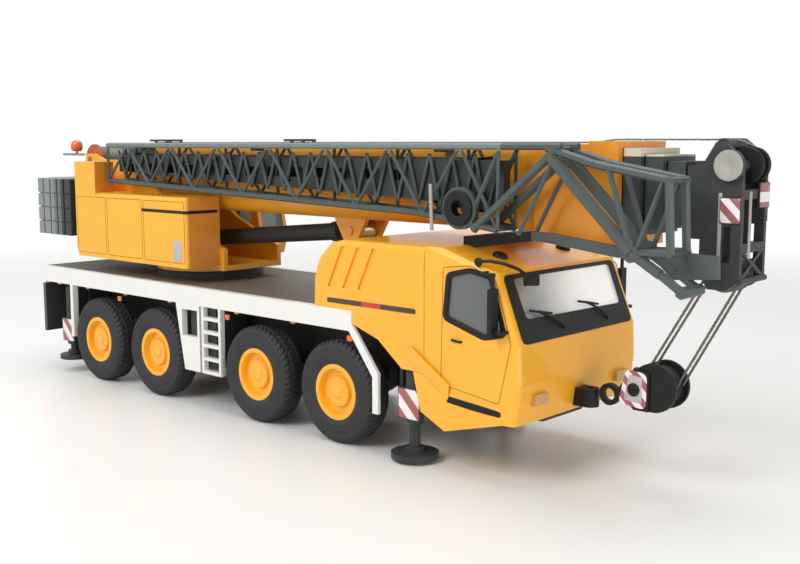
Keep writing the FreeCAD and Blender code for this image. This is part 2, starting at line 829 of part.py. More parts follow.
boxes = []
for end in ("rear", "front"):
    shell = box(f"{end}_leg_box", (f"{end}_box_rear_x", f"{end}_box_front_x"),
                ("-leg_box_half_length", "leg_box_half_length"),
                leg_height(end, "leg_beam_play + leg_box_wall"))
    channels = [box(f"{end}_channel_{letter}", leg_span(end, centre, "leg_beam_play"),
                    ("-half_width", "half_width"), leg_height(end, "leg_beam_play"))
                for leg_end, letter, centre in LEGS if leg_end == end]
    boxes.append(cut(f"{end}_outrigger_box", shell, channels))
node("outrigger_boxes", group("outrigger_boxes", boxes))

# Outrigger beams with jack sleeves and warning plates; the jacks slide in the sleeves
for end, letter, centre in LEGS:
    side = SIDES[letter]
    tail = f"-{side} * (leg_box_half_length - leg_beam_tail)"
    tip = f"{side} * jack_y"
    beam_y = (tip, tail) if side < 0 else (tail, tip)
    face = f"{side} * (jack_y + jack_sleeve_radius)"
    skin = f"{side} * (jack_y + jack_sleeve_radius - leg_plate_thickness)"
    plate_y = (face, skin) if side < 0 else (skin, face)
    sleeve_top = f"{end}_leg_high_z"
    pieces = [
        box(f"{end}_beam_{letter}", leg_span(end, centre, "0"), beam_y, leg_height(end, "0")),
        rod(f"{end}_sleeve_{letter}", "z", (centre, tip, "jack_sleeve_foot_z"),
            f"{sleeve_top} - jack_sleeve_foot_z", "jack_sleeve_radius"),
        box(f"{end}_plate_{letter}",
            (f"{centre} - leg_plate_width / 2", f"{centre} + leg_plate_width / 2"), plate_y,
            ("jack_sleeve_foot_z + 1", "jack_sleeve_foot_z + 1 + leg_plate_height")),
    ]
    bore = rod(f"{end}_jack_bore_{letter}", "z", (centre, tip, "0"),
               f"{sleeve_top} - leg_box_wall", "jack_rod_radius + jack_play")
    mark = f"{end}_{letter}"
    node(f"outrigger_{mark}", cut(f"outrigger_{mark}", joined(f"leg_{mark}", pieces), [bore]))
    leg = rod(f"jack_rod_{mark}", "z", (centre, tip, f"{end}_float_z"), "jack_rod_length",
              "jack_rod_radius")
    foot = rod(f"float_{mark}", "z", (centre, tip, f"{end}_float_z"), "float_thickness",
               f"{end}_float_radius")
    collar = rod(f"float_collar_{mark}", "z", (centre, tip, f"{end}_float_z"),
                 "2 * float_thickness", "jack_sleeve_radius")
    node(f"jack_{mark}", joined(f"jack_{mark}", [leg, foot, collar]))

# Engine hood: a moulded cover, open below, with grooves in its rear shoulders
hood_profile = [
    ("hood_rear_x", "deck_top_z"),
    ("hood_shoulder_x", "hood_shoulder_z"),
    ("hood_brow_x", "hood_brow_z"),
    ("hood_crown_x", "hood_crown_z"),
    ("hood_top_rear_x", "hood_top_z"),
    ("seam_x - seam_half", "hood_top_z"),
    ("seam_x - seam_half", "fender_z"),
    ("fender_x - hood_heel_gap", "fender_z"),
    ("strip_foot_x", "deck_top_z - hood_skirt_drop"),
    ("band_front_x + seam_half", "deck_top_z - hood_step_drop"),
    ("band_front_x + seam_half", "deck_top_z"),
]
hood_hollow = [
    ("hood_rear_x + hood_wall", "fender_foot_z"),
    ("hood_rear_x + hood_wall", "deck_top_z"),
    ("hood_shoulder_x + hood_wall", "hood_shoulder_z"),
    ("hood_brow_x + hood_wall", "hood_brow_z - hood_wall / 2"),
    ("hood_top_rear_x", "hood_top_z - hood_wall"),
    ("seam_x - hood_wall", "hood_top_z - hood_wall"),
    ("seam_x - hood_wall", "fender_foot_z"),
]
hood = prism("hood_body", "XZ", "-half_width", "half_width", hood_profile)
brow = value("hood_brow_z")
flank = value("half_width") - 0.01
soften(hood, "hood_round", lambda middle, way: middle.z > brow and abs(middle.y) > flank)
hollow = prism("hood_hollow", "XZ", "-(half_width - hood_wall)", "half_width - hood_wall",
               hood_hollow)
grooves = []
for number in range(int(value("hood_grooves"))):
    head = f"(hood_top_rear_x + hood_groove_pitch * {number})"
    foot = f"({head} - hood_groove_lean)"
    for letter, side in SIDES.items():
        inner = f"{side} * (half_width - hood_groove_depth)"
        outer = f"{side} * half_width"
        grooves.append(prism(f"hood_groove_{number}_{letter}", "XZ",
                             outer if side < 0 else inner, inner if side < 0 else outer, [
            (foot, "hood_groove_foot_z"),
            (f"{foot} + hood_groove_width", "hood_groove_foot_z"),
            (f"{head} + hood_groove_width", "hood_groove_head_z"),
            (head, "hood_groove_head_z"),
        ]))
node("engine_hood", cut("engine_hood", hood, [hollow] + grooves))

# Driver's cab: a full-width hollow casting with its window openings cut through
WINDOW = (
    # x, z of the side window's corners
    (63.9, 37.7),
    (64.9, 47.7),
    (71.3, 49.2),
    (77.0, 48.2),
    (81.1, 35.6),
    (75.4, 34.3),
)


def screen_x(z, inset):
    """The windscreen's plane at a height, moved back by an inset."""
    slope = "(sill_x - visor_x) / (visor_z - sill_z)"
    return f"visor_x + (visor_z - ({z})) * {slope} - ({inset})"


cab_profile = [
    ("seam_x + seam_half", "cab_roof_z"),
    ("cab_roof_x", "cab_roof_z"),
    ("visor_x", "visor_z"),
    ("sill_x", "sill_z"),
    ("nose_x", "nose_z"),
    ("cab_foot_x", "cab_foot_z"),
    ("cab_foot_x - 3.2", "cab_foot_z"),
    ("cab_rear_foot_x", "cab_rear_foot_z"),
    ("fender_foot_x", "fender_foot_z"),
    ("fender_x", "fender_z - seam_half"),
    ("seam_x + seam_half", "fender_z - seam_half"),
]
cab_hollow = [
    ("seam_x + cab_wall", "cab_floor_z"),
    ("seam_x + cab_wall", "cab_roof_z - cab_wall"),
    ("cab_roof_x - cab_wall / 4", "cab_roof_z - cab_wall"),
    (screen_x("visor_z - cab_wall", "cab_wall"), "visor_z - cab_wall"),
    ("sill_x - cab_wall", "sill_z"),
    ("nose_x - cab_wall", "cab_floor_z"),
]
cab = prism("cab_body", "XZ", "-half_width", "half_width", cab_profile)
front = value("cab_roof_x") - 0.01
upper = value("nose_z") - 6
soften(cab, "cab_round", lambda middle, way: middle.x > front and abs(middle.y) > flank
       and middle.z > upper)
cab_cuts = [
    prism("cab_hollow", "XZ", "-(half_width - cab_wall)", "half_width - cab_wall", cab_hollow),
    box("cab_tunnel", ("fender_x", "cab_foot_x - cab_wall"),
        ("-cab_tunnel_half_width", "cab_tunnel_half_width"),
        ("cab_rear_foot_z", "cab_tunnel_top_z")),
    box("leg_box_recess", ("fender_x - 1", "front_box_front_x + leg_beam_play"),
        ("-(leg_box_half_length + leg_beam_play)", "leg_box_half_length + leg_beam_play"),
        ("cab_rear_foot_z", "fender_z")),
    prism("side_window_hole", "XZ", "-half_width", "half_width", WINDOW),
    prism("windscreen_hole", "YZ", screen_x("windscreen_high_z", "3 * cab_wall"), "nose_x", [
        ("-windscreen_half_width", "windscreen_low_z"),
        ("windscreen_half_width", "windscreen_low_z"),
        ("windscreen_half_width", "windscreen_high_z"),
        ("-windscreen_half_width", "windscreen_high_z"),
    ]),
]
cab_shell = node("carrier_cab", cut("carrier_cab", cab, cab_cuts))

# Glazing fills the openings a little behind the outer faces
screen = prism("windscreen", "XZ", "-windscreen_half_width", "windscreen_half_width", [
    (screen_x("windscreen_low_z", "glass_inset"), "windscreen_low_z"),
    (screen_x("windscreen_high_z", "glass_inset"), "windscreen_high_z"),
    (screen_x("windscreen_high_z", "glass_inset + glass_thickness"), "windscreen_high_z"),
    (screen_x("windscreen_low_z", "glass_inset + glass_thickness"), "windscreen_low_z"),
])
pane = prism("side_pane", "XZ", "-(half_width - glass_inset)",
             "-(half_width - glass_inset - glass_thickness)", WINDOW)
node("cab_glazing", group("cab_glazing", [screen, pane, mirrored("side_pane_left", pane)]))

# Seats, dashboard and steering wheel seen through the glass
cab_inside = []
for letter, side in SIDES.items():
    seat_y = (f"{side} * seat_y - seat_width / 2", f"{side} * seat_y + seat_width / 2")
    cab_inside.append(joined(f"seat_{letter}", [
        box(f"seat_base_{letter}", ("seat_x - seat_width / 2", "seat_x + seat_width / 2"),
            seat_y, ("cab_floor_z", "seat_z")),
        box(f"seat_back_{letter}", ("seat_x - seat_width / 2", "seat_x - seat_width / 4"),
            seat_y, ("cab_floor_z", "seat_back_z")),
    ]))
dash = box("dashboard", ("sill_x - 7", "sill_x - cab_wall - 0.2"),
           ("-(half_width - cab_wall)", "half_width - cab_wall"), ("cab_floor_z", "dash_z"))
column = rod("steering_column", "z", ("sill_x - 6", "seat_y", "dash_z"), "2.4", "0.6")
wheel = rod("steering_wheel", "z", ("sill_x - 6", "seat_y", "dash_z + 2.2"), "0.7",
            "steering_wheel_radius")
cab_inside.append(joined("dashboard_group", [dash, column, wheel]))
node("cab_interior", group("cab_interior", cab_inside))

# Front towing eye on the cab's nose
front_boss = rod("front_boss", "z", ("nose_x + coupling_reach", "0",
                 "coupling_z - coupling_radius"), "2 * coupling_radius", "coupling_radius")
front_arm = box("front_arm", ("cab_foot_x - cab_wall / 2", "nose_x + coupling_reach"),
                ("-coupling_radius", "coupling_radius"),
                ("coupling_z - coupling_radius", "coupling_z + coupling_radius"))
front_bore = rod("front_bore", "z", ("nose_x + coupling_reach", "0",
                 "coupling_z - 2 * coupling_radius"), "4 * coupling_radius", "coupling_bore")
node("front_coupling", cut("front_coupling", joined("front_eye", [front_boss, front_arm]),
                           [front_bore, cab_shell]))

# Headlamps on the nose, tail lamps on the rear beam, markers under the bands
LAMP_STATIONS = (-112, -94, -72, -48, -16, 8)
lamps = []
for letter, side in SIDES.items():
    lamp_y = (f"{side} * lamp_y - lamp_width / 2", f"{side} * lamp_y + lamp_width / 2")
    lamp_z = ("lamp_z - lamp_height / 2", "lamp_z + lamp_height / 2")
    front_lamp = box(f"head_lamp_{letter}", ("cab_foot_x", "nose_x + lamp_depth"), lamp_y, lamp_z)
    lamps.append(cut(f"head_lamp_lens_{letter}", front_lamp, [cab_shell]))
    lamps.append(box(f"tail_lamp_{letter}", ("deck_rear_x - lamp_depth", "deck_rear_x"),
                     lamp_y, lamp_z))
    edge = f"{side} * deck_half_width"
    outer = f"{side} * (deck_half_width + marker_depth)"
    marker_y = (outer, edge) if side < 0 else (edge, outer)
    for count, station in enumerate(LAMP_STATIONS, start=1):
        lamps.append(box(f"marker_{letter}_{count}", (station, f"{station} + marker_width"),
                         marker_y, ("band_bottom_z - marker_height", "band_bottom_z")))
node("lamps", group("lamps", lamps))

# Mirrors on arms from the cab's front corners
mirror_plate = box("mirror_plate",
                   ("mirror_x - mirror_depth / 2", "mirror_x + mirror_depth / 2"),
                   ("-(mirror_y + mirror_width / 2)", "-(mirror_y - mirror_width / 2)"),
                   ("mirror_low_z", "mirror_high_z"))
ARMS = (
    # name, x of its root on the cab, its rear end, its front end, height
    ("low", "sill_x - mirror_low_root_setback", "mirror_x",
     "sill_x - mirror_low_root_setback", "mirror_low_z + mirror_depth"),
    ("high", "visor_x - mirror_high_root_setback", "visor_x - mirror_high_root_setback",
     "mirror_x", "visor_z - seam_half"),
)
arms = []
for name, root, rear, front, height in ARMS:
    arms.append(rod(f"mirror_arm_{name}", "y", (root, "-mirror_y", height),
                    "mirror_y - half_width + cab_wall / 2", "mirror_arm_radius"))
    arms.append(rod(f"mirror_link_{name}", "x", (rear, "-mirror_y", height),
                    f"({front}) - ({rear}) + mirror_arm_radius", "mirror_arm_radius"))
arms.append(rod("mirror_hanger", "z", ("mirror_x", "-mirror_y", "mirror_high_z - mirror_depth"),
                "visor_z - mirror_high_z + mirror_depth", "mirror_arm_radius"))
mirror = cut("mirror", joined("mirror_body", [mirror_plate] + arms), [cab_shell])
node("mirrors", both_sides("mirrors", mirror))

# Beacon bar across the cab's roof
bar_base = box("bar_base", ("roof_bar_x - roof_bar_depth / 2", "roof_bar_x + roof_bar_depth / 2"),
               ("-roof_bar_half_length", "roof_bar_half_length"),
               ("cab_roof_z - cab_wall / 2", "cab_roof_z + roof_bar_height"))
node("roof_bar", cut("roof_bar", bar_base, [cab_shell]))

# Turntable: a round table, two cheeks with the boom's foot pin, and the drum's brackets
table = rod("table", "z", ("slew_x", "0", "deck_top_z + slew_ring_height + slew_play"),
            "table_top_z - deck_top_z - slew_ring_height - slew_play", "slew_ring_radius")
floor = box("table_floor", ("cheek_rear_x", "cheek_front_x"),
            ("-cheek_outer_y", "cheek_outer_y"), ("table_top_z - 1.6", "table_top_z"))
cheek_profile = [
    ("cheek_rear_x", "table_top_z - 1"),
    ("cheek_front_x", "table_top_z - 1"),
    ("cheek_front_x", "table_top_z + cheek_front_rise"),
    ("cheek_front_x - cheek_slope_run", "table_top_z + cheek_slope_rise"),
    ("luff_x + cheek_head_reach", "cheek_top_z"),
    ("luff_x - boom_foot_radius", "cheek_top_z"),
    ("drum_x + drum_bracket", "drum_z + drum_bracket"),
    ("drum_x - drum_bracket", "drum_z + drum_bracket"),
    ("drum_x - 2 * drum_bracket", "ballast_top_z + slew_play"),
    ("cheek_rear_x", "ballast_top_z + slew_play"),
]
cheeks = [prism(f"cheek_{letter}", "XZ",
                "-cheek_outer_y" if side < 0 else "cheek_y",
                "-cheek_y" if side < 0 else "cheek_outer_y", cheek_profile)
          for letter, side in SIDES.items()]
lugs = [box(f"lift_lug_{letter}", ("lift_foot_x - lift_eye_radius", "lift_foot_x + lift_eye_radius"),
            (f"{side} * (lift_lug_y + lift_lug_thickness / 2) - lift_lug_thickness / 2",
             f"{side} * (lift_lug_y + lift_lug_thickness / 2) + lift_lug_thickness / 2"),
            ("table_top_z - 1", "lift_foot_z + lift_eye_radius"))
        for letter, side in SIDES.items()]
pins = [
    rod("luff_pin", "y", ("luff_x", "-cheek_outer_y - 0.3", "luff_z"),
        "2 * cheek_outer_y + 0.6", "luff_pin_radius"),
    rod("lift_foot_pin", "y", ("lift_foot_x", "-(lift_lug_y + lift_lug_thickness)",
        "lift_foot_z"), "2 * (lift_lug_y + lift_lug_thickness)", "lift_pin_radius"),
]
# A light arm runs back from the right cheek and carries the round beacon
arm_y = ("-cheek_outer_y", "rear_arm_depth - cheek_outer_y")
arm_top = "drum_z + drum_bracket"
beacon_y = "rear_arm_depth / 2 - cheek_outer_y"
rear_arm = box("rear_arm_bar", ("drum_x - rear_arm_reach", "drum_x"), arm_y,
               (f"{arm_top} - rear_arm_depth", arm_top))
beacon_stem = rod("beacon_stem", "z", ("beacon_x", beacon_y, f"{arm_top} - rear_arm_depth / 2"),
                  "beacon_rise", "rear_arm_depth / 2")
beacon = doc.addObject("Part::Sphere", "beacon")
beacon.setExpression("Radius", bind("beacon_radius"))
place(beacon, "beacon_x", beacon_y, f"{arm_top} + beacon_rise")
drum_bores = [rod("drum_bore", "y", ("drum_x", "-half_width", "drum_z"), "2 * half_width",
                  "drum_shaft_radius + axle_play")]
node("upper_frame", cut("upper_frame", joined(
    "upper_body", [table, floor, rear_arm, beacon_stem, beacon] + cheeks + lugs + pins), drum_bores))

# Hoist drum between the cheeks, behind the boom's foot
drum_end = "cheek_y - knuckle_play"
drum_profile = [
    ("0", "-cheek_outer_y"),
    ("drum_shaft_radius", "-cheek_outer_y"),
    ("drum_shaft_radius", f"-({drum_end})"),
    ("drum_flange_radius", f"-({drum_end})"),
    ("drum_flange_radius", f"-({drum_end} - drum_flange_thickness)"),
    ("drum_radius", f"-({drum_end} - drum_flange_thickness)"),
    ("drum_radius", f"{drum_end} - drum_flange_thickness"),
    ("drum_flange_radius", f"{drum_end} - drum_flange_thickness"),
    ("drum_flange_radius", drum_end),
    ("drum_shaft_radius", drum_end),
    ("drum_shaft_radius", "cheek_outer_y"),
    ("0", "cheek_outer_y"),
]
node("hoist_drum", turned("hoist_drum", drum_profile, "drum_x", "0", "drum_z"))

# Housings beside the cheeks; the right one rises to a tower at the rear
above = value("housing_bottom_z") + 1
right_body = prism("right_cover", "XZ", "-housing_y", "-cheek_outer_y", [
    ("housing_rear_x", "housing_bottom_z"),
    ("housing_front_x", "housing_bottom_z"),
    ("housing_front_x", "housing_top_z"),
    ("housing_rear_x", "housing_top_z"),
])
soften(right_body, "housing_round", lambda middle, way: middle.z > above
       and middle.y < -value("housing_y") + 0.01)
tower = box("right_tower", ("housing_rear_x", "tower_front_x"), ("-housing_y", "-tower_inner_y"),
            ("housing_bottom_z + tower_foot_rise", "housing_tower_z"))
table_cut = rod("table_cut", "z", ("slew_x", "0", "deck_top_z"),
                "table_top_z - deck_top_z", "slew_ring_radius")
node("right_housing", cut("right_housing", joined("right_housing_body", [right_body, tower]),
                          [table_cut]))
left_body = prism("left_cover", "XZ", "cheek_outer_y", "housing_y", [
    ("housing_rear_x", "housing_bottom_z"),
    ("left_housing_front_x", "housing_bottom_z"),
    ("left_housing_front_x", "housing_top_z"),
    ("housing_rear_x", "housing_top_z"),
])
soften(left_body, "housing_round", lambda middle, way: middle.z > above
       and middle.y > value("housing_y") - 0.01)
node("left_housing", left_body)

# Counterweight: stacked slabs with chamfered rear corners
slab = "(ballast_top_z - ballast_bottom_z) / ballast_slabs"
slabs = []


def ballast_outline(inset):
    """The slab's plan with every free side moved in by an inset."""
    half = f"(ballast_half_width - {inset})"
    rear = f"(ballast_rear_x + {inset})"
    return [
        ("ballast_front_x", f"-{half}"),
        (f"{rear} + ballast_chamfer_x", f"-{half}"),
        (rear, f"-({half} - ballast_chamfer_y)"),
        (rear, f"{half} - ballast_chamfer_y"),
        (f"{rear} + ballast_chamfer_x", half),
        ("ballast_front_x", half),
    ]


count = int(value("ballast_slabs"))
for number in range(count):
    low = f"ballast_bottom_z + {number} * {slab}"
    gap = "ballast_groove" if number < count - 1 else "0"
    slabs.append(prism(f"ballast_slab_{number + 1}", "XY", low, f"{low} + {slab} - {gap}",
                       ballast_outline("0")))
slabs.append(prism("ballast_core", "XY", "ballast_bottom_z", "ballast_top_z",
                   ballast_outline("ballast_groove")))
flutes = []
for number in range(int(value("ballast_flutes"))):
    start = f"ballast_front_x - ballast_flute_pitch * ({number} + 1)"
    for letter, side in SIDES.items():
        inner = f"{side} * (ballast_half_width - ballast_groove)"
        outer = f"{side} * half_width"
        flutes.append(box(f"ballast_flute_{number + 1}_{letter}",
                          (start, f"{start} + ballast_flute_width"),
                          (outer, inner) if side < 0 else (inner, outer),
                          ("ballast_bottom_z", "ballast_top_z")))
node("counterweight", cut("counterweight", joined("ballast_body", slabs), flutes))

# Crane operator's cab on the left: a shell with a roof, and glass all round its front
cab_xs = ("operator_rear_x", "operator_front_x")
cab_ys = ("operator_inner_y", "operator_outer_y")
operator_profile = [
    ("operator_rear_x", "operator_low_z"),
    ("operator_front_x - operator_nose_run", "operator_low_z"),
    ("operator_front_x", "operator_low_z + operator_nose_rise"),
    ("operator_front_x - operator_brow_run", "operator_high_z"),
    ("operator_rear_x", "operator_high_z"),
]
operator_shell = prism("operator_shell", "XZ", *cab_ys, operator_profile)
inside_ys = ("operator_inner_y + operator_wall", "operator_outer_y - operator_wall")
pane_z = ("operator_low_z + operator_pane_low", "operator_high_z - operator_pane_high")
operator_hollow = prism("operator_hollow", "XZ", *inside_ys, [
    ("operator_rear_x + operator_wall", "operator_low_z + operator_wall"),
    ("operator_front_x - operator_nose_run - operator_wall", "operator_low_z + operator_wall"),
    ("operator_front_x - operator_wall", "operator_low_z + operator_nose_rise"),
    ("operator_front_x - operator_brow_run - operator_wall", "operator_high_z - operator_wall"),
    ("operator_rear_x + operator_wall", "operator_high_z - operator_wall"),
])
side_xs = ("operator_rear_x + operator_post", "operator_front_x - operator_front_post")
front_ys = ("operator_inner_y + operator_side_post", "operator_outer_y - operator_side_post")
side_opening = box("operator_side_opening", side_xs, cab_ys, pane_z)
front_opening = box("operator_front_opening", (side_xs[1], "operator_front_x"), front_ys, pane_z)
node("operator_cab", cut("operator_cab", operator_shell,
                         [operator_hollow, side_opening, front_opening]))


def brow_x(z, inset):
    """The operator's windscreen at a height, moved back by an inset."""
    rise = f"(({z}) - operator_low_z - operator_nose_rise)"
    slope = "operator_brow_run / (operator_high_z - operator_low_z - operator_nose_rise)"
    return f"operator_front_x - {rise} * {slope} - ({inset})"


near, far = "operator_glass_inset", "operator_glass_inset + operator_glass"
panes = [
    box("operator_pane_inner", side_xs, (f"operator_inner_y + {near}", f"operator_inner_y + {far}"),
        pane_z),
    box("operator_pane_outer", side_xs,
        (f"operator_outer_y - ({far})", f"operator_outer_y - {near}"), pane_z),
    prism("operator_pane_front", "XZ", *front_ys, [
        (brow_x(pane_z[0], near), pane_z[0]),
        (brow_x(pane_z[1], near), pane_z[1]),
        (brow_x(pane_z[1], far), pane_z[1]),
        (brow_x(pane_z[0], far), pane_z[0]),
    ]),
]
node("operator_glass", group("operator_glass", panes))

# Boom: a base section and three inner ones, each a tube with a rounded belly


def tube(name, rear, front, step, closed):
    """A boom tube, smaller on every side by half the step per section."""
    inset = f"(boom_step / 2 * {step})"

    def ring(margin):
        half = f"(boom_width / 2 - {inset} - {margin})"
        low = f"(boom_axis_z - boom_height / 2 + {inset} + {margin})"
        high = f"(boom_axis_z + boom_height / 2 - {inset} - {margin})"
        return [(f"-{half}", low), (half, low), (half, high), (f"-{half}", high)]

    outer = prism(name + "_outer", "YZ", rear, front, ring("0"))
    belly = value("boom_axis_z")
    bend = f"(boom_width / 2 - {inset}) * boom_belly_share"
    soften(outer, bend, lambda middle, way: abs(way.x) > 0.9 and middle.z < belly)
    inner = prism(name + "_inner", "YZ", closed, front, ring("boom_wall"))
    soften(inner, f"{bend} - boom_wall", lambda middle, way: abs(way.x) > 0.9
           and middle.z < belly)
    return outer, inner


foot_outer, foot_inner = tube("boom_base", "boom_rear_x", "boom_front_x", 0, "boom_cavity_x")
nose_collar = prism("nose_collar", "YZ", "nose_collar_x", "boom_front_x", [
    ("-(boom_width / 2 + collar_rise)", "boom_bottom_z - nose_collar_drop"),
    ("boom_width / 2 + collar_rise", "boom_bottom_z - nose_collar_drop"),
    ("boom_width / 2 + collar_rise", "boom_top_z - nose_collar_top_drop"),
    ("-(boom_width / 2 + collar_rise)", "boom_top_z - nose_collar_top_drop"),
])
band_half = "(boom_width / 2 + collar_rise + nose_band_rise / 2)"
nose_band = prism("nose_band", "YZ", "boom_front_x - nose_band_length", "boom_front_x", [
    (f"-{band_half}", "boom_bottom_z - nose_collar_drop - nose_band_rise / 2"),
    (band_half, "boom_bottom_z - nose_collar_drop - nose_band_rise / 2"),
    (band_half, "boom_top_z + nose_band_rise"),
    (f"-{band_half}", "boom_top_z + nose_band_rise"),
])
eye_lugs = [prism(f"boom_eye_{letter}", "XZ",
                  f"{side} * (lift_lug_y + lift_lug_thickness / 2) - lift_lug_thickness / 2",
                  f"{side} * (lift_lug_y + lift_lug_thickness / 2) + lift_lug_thickness / 2", [
    ("lift_eye_x - lift_eye_lug_root", "boom_bottom_z + boom_wall / 2"),
    ("lift_eye_x - lift_eye_lug_tip", "lift_eye_z - lift_eye_lug_tip"),
    ("lift_eye_x + lift_eye_lug_tip", "lift_eye_z - lift_eye_lug_tip"),
    ("lift_eye_x + lift_eye_lug_root", "boom_bottom_z + boom_wall / 2"),
]) for letter, side in SIDES.items()]
upper_taper = [
    ("boom_rear_x - 2", "boom_top_z + 1"),
    ("boom_taper_x", "boom_top_z + 1"),
    ("boom_taper_x", "boom_top_z"),
    ("luff_x", "luff_z + boom_foot_radius"),
    ("luff_x - boom_foot_radius * 0.8", "luff_z + boom_foot_radius * 0.6"),
    ("luff_x - boom_foot_radius", "luff_z"),
    ("boom_rear_x - 2", "luff_z"),
]
lower_taper = [
    ("boom_rear_x - 2", "luff_z"),
    ("luff_x - boom_foot_radius", "luff_z"),
    ("luff_x - boom_foot_radius * 0.8", "luff_z - boom_foot_radius * 0.6"),
    ("luff_x", "luff_z - boom_foot_radius - 1"),
    ("boom_taper_x - 4", "boom_bottom_z"),
    ("boom_taper_x - 4", "boom_bottom_z - 1"),
    ("boom_rear_x - 2", "boom_bottom_z - 1"),
]
pin_heads = [rod(f"lift_eye_head_{letter}", "y",
                 ("lift_eye_x", f"{side} * (lift_lug_y + lift_lug_thickness) - lift_pin_head",
                  "lift_eye_z"), "2 * lift_pin_head", "lift_pin_radius")
             for letter, side in SIDES.items()]
base_cuts = [
    foot_inner,
    prism("upper_taper", "XZ", "-half_width", "half_width", upper_taper),
    prism("lower_taper", "XZ", "-half_width", "half_width", lower_taper),
    rod("luff_bore", "y", ("luff_x", "-half_width", "luff_z"), "2 * half_width",
        "luff_pin_radius + luff_play"),
]
base_body = joined("boom_base_body", [foot_outer, nose_collar, nose_band] + eye_lugs + pin_heads)
base_tube = cut("boom_base_tube", base_body, base_cuts)

# Rope guides on the boom's back: a plate on four legs over the hoist rope
GUIDES = (
    # name, rear end, front end
    ("rear", "boom_taper_x - 4", "boom_taper_x + 7.5"),
    ("middle", "-18", "-9.5"),
)
guides = []
for name, rear, front in GUIDES:
    guides.append(box(f"guide_plate_{name}", (rear, front), ("-guide_half_width", "guide_half_width"),
                      ("boom_top_z + guide_rise - guide_plate", "boom_top_z + guide_rise")))
    for end, low in (("back", f"{rear} + guide_foot * 3"), ("fore", f"{front} - guide_foot")):
        for letter, side in SIDES.items():
            inner = f"{side} * (guide_half_width - guide_leg)"
            outer = f"{side} * guide_half_width"
            guides.append(box(f"guide_leg_{name}_{end}_{letter}", (low, f"{low} + guide_foot"),
                              (outer, inner) if side < 0 else (inner, outer),
                              ("boom_top_z - guide_foot", "boom_top_z + guide_rise")))
node("boom_base", joined("boom_base", [base_tube] + guides))

for number in (1, 2, 3):
    rear = f"boom_cavity_x + 1 + section_step_rear * {number - 1}"
    mouth = f"(boom_front_x + collar_gap + (collar_length + collar_gap) * {number - 1})"
    front = f"{mouth} + collar_length"
    outer, inner = tube(f"section_{number}", rear, front, number, rear)
    inset = f"(boom_step / 2 * {number})"
    rim_half = f"(boom_width / 2 - {inset} + collar_rise)"
    rim_low = f"(boom_axis_z - boom_height / 2 + {inset} - collar_rise)"
    rim_high = f"(boom_axis_z + boom_height / 2 - {inset} + collar_rise)"
    collar = prism(f"collar_{number}", "YZ", mouth, front, [
        (f"-{rim_half}", rim_low),
        (rim_half, rim_low),
        (rim_half, rim_high),
        (f"-{rim_half}", rim_high),
    ])
    node(f"boom_section_{number}", cut(f"boom_section_{number}",
                                       joined(f"section_{number}_body", [outer, collar]), [inner]))

# Boom head: two slotted cheeks on the last section, tied by bars, braces and its pins
head_profile = [
    ("head_rear_x", "head_neck_high_z"),
    ("head_rear_x", "head_neck_low_z"),
    ("head_post_x", "head_neck_low_z"),
    ("head_post_x", "low_sheave_z"),
    ("low_sheave_x - head_bar", "head_low_z"),
    ("low_sheave_x + head_bar", "head_low_z"),
    ("head_front_x", "low_sheave_z - head_bar / 2"),
    ("head_front_x", "crown_roller_z + crown_over_roller - top_sheave_radius"),
    ("crown_roller_x + head_bar / 2", "crown_roller_z + crown_over_roller"),
    ("crown_roller_x - head_bar / 2", "crown_roller_z + crown_over_roller"),
    ("head_post_x", "head_neck_high_z"),
]
head_inner = "head_half_width - head_cheek"
head_pieces = []
for letter, side in SIDES.items():
    inner = f"{side} * ({head_inner})"
    outer = f"{side} * head_half_width"
    proud = f"{side} * (head_half_width + head_plate_thickness)"
    cheek = prism(f"head_cheek_{letter}", "XZ",
                  outer if side < 0 else inner, inner if side < 0 else outer, head_profile)
    slot = box(f"head_slot_{letter}", ("head_slot_rear_x", "head_slot_front_x"),
               ("-half_width", "half_width"), ("head_slot_low_z", "head_slot_high_z"))
    head_pieces.append(cut(f"head_side_{letter}", cheek, [slot]))
    head_pieces.append(box(f"head_sign_{letter}",
                           ("head_front_x - head_plate_length", "head_front_x"),
                           (proud, outer) if side < 0 else (outer, proud),
                           ("head_plate_low_z", "head_plate_low_z + head_plate_height")))
across = (f"-({head_inner})", head_inner)
front_bars = ("head_front_x - head_bar", "head_front_x")
head_pieces += [
    box("head_web", ("head_rear_x", "head_rear_x + head_cheek"), across,
        ("head_neck_low_z", "head_neck_high_z")),
    box("head_low_bar", front_bars, across, ("head_low_bar_z", "head_low_bar_z + head_bar")),
    box("head_high_bar", front_bars, across, ("head_high_bar_z", "head_high_bar_z + head_bar")),
    box("head_front_post", ("head_front_x - head_brace", "head_front_x"),
        ("-sheave_width * 2", "-sheave_width"), ("head_low_bar_z", "head_high_bar_z + head_bar")),
    box("head_front_sign", ("head_front_x", "head_front_x + head_plate_thickness"),
        ("sheave_width", "head_half_width"),
        ("head_high_bar_z - head_bar", "head_high_bar_z - head_bar + head_plate_height")),
    rod("top_pin", "y", ("top_sheave_x", "-head_half_width", "top_sheave_z"),
        "2 * head_half_width", "sheave_bore - axle_play"),
    rod("low_pin", "y", ("low_sheave_x", "-(head_half_width + head_plate_thickness)",
        "low_sheave_z"), "2 * (head_half_width + head_plate_thickness)", "sheave_bore - axle_play"),
    rod("head_disc", "y", ("top_sheave_x - sheave_bore", "-(head_half_width + head_disc_depth)",
        "top_sheave_z"), "head_disc_depth", "head_disc_radius"),
    rod("crown_roller", "y", ("crown_roller_x", f"-({head_inner})", "crown_roller_z"),
        f"2 * ({head_inner})", "crown_roller_radius"),
    rod("head_foot_bar", "y", ("head_front_x", "-head_half_width", "low_sheave_z - head_brace"),
        "2 * head_half_width", "head_brace * 2 / 3"),
]
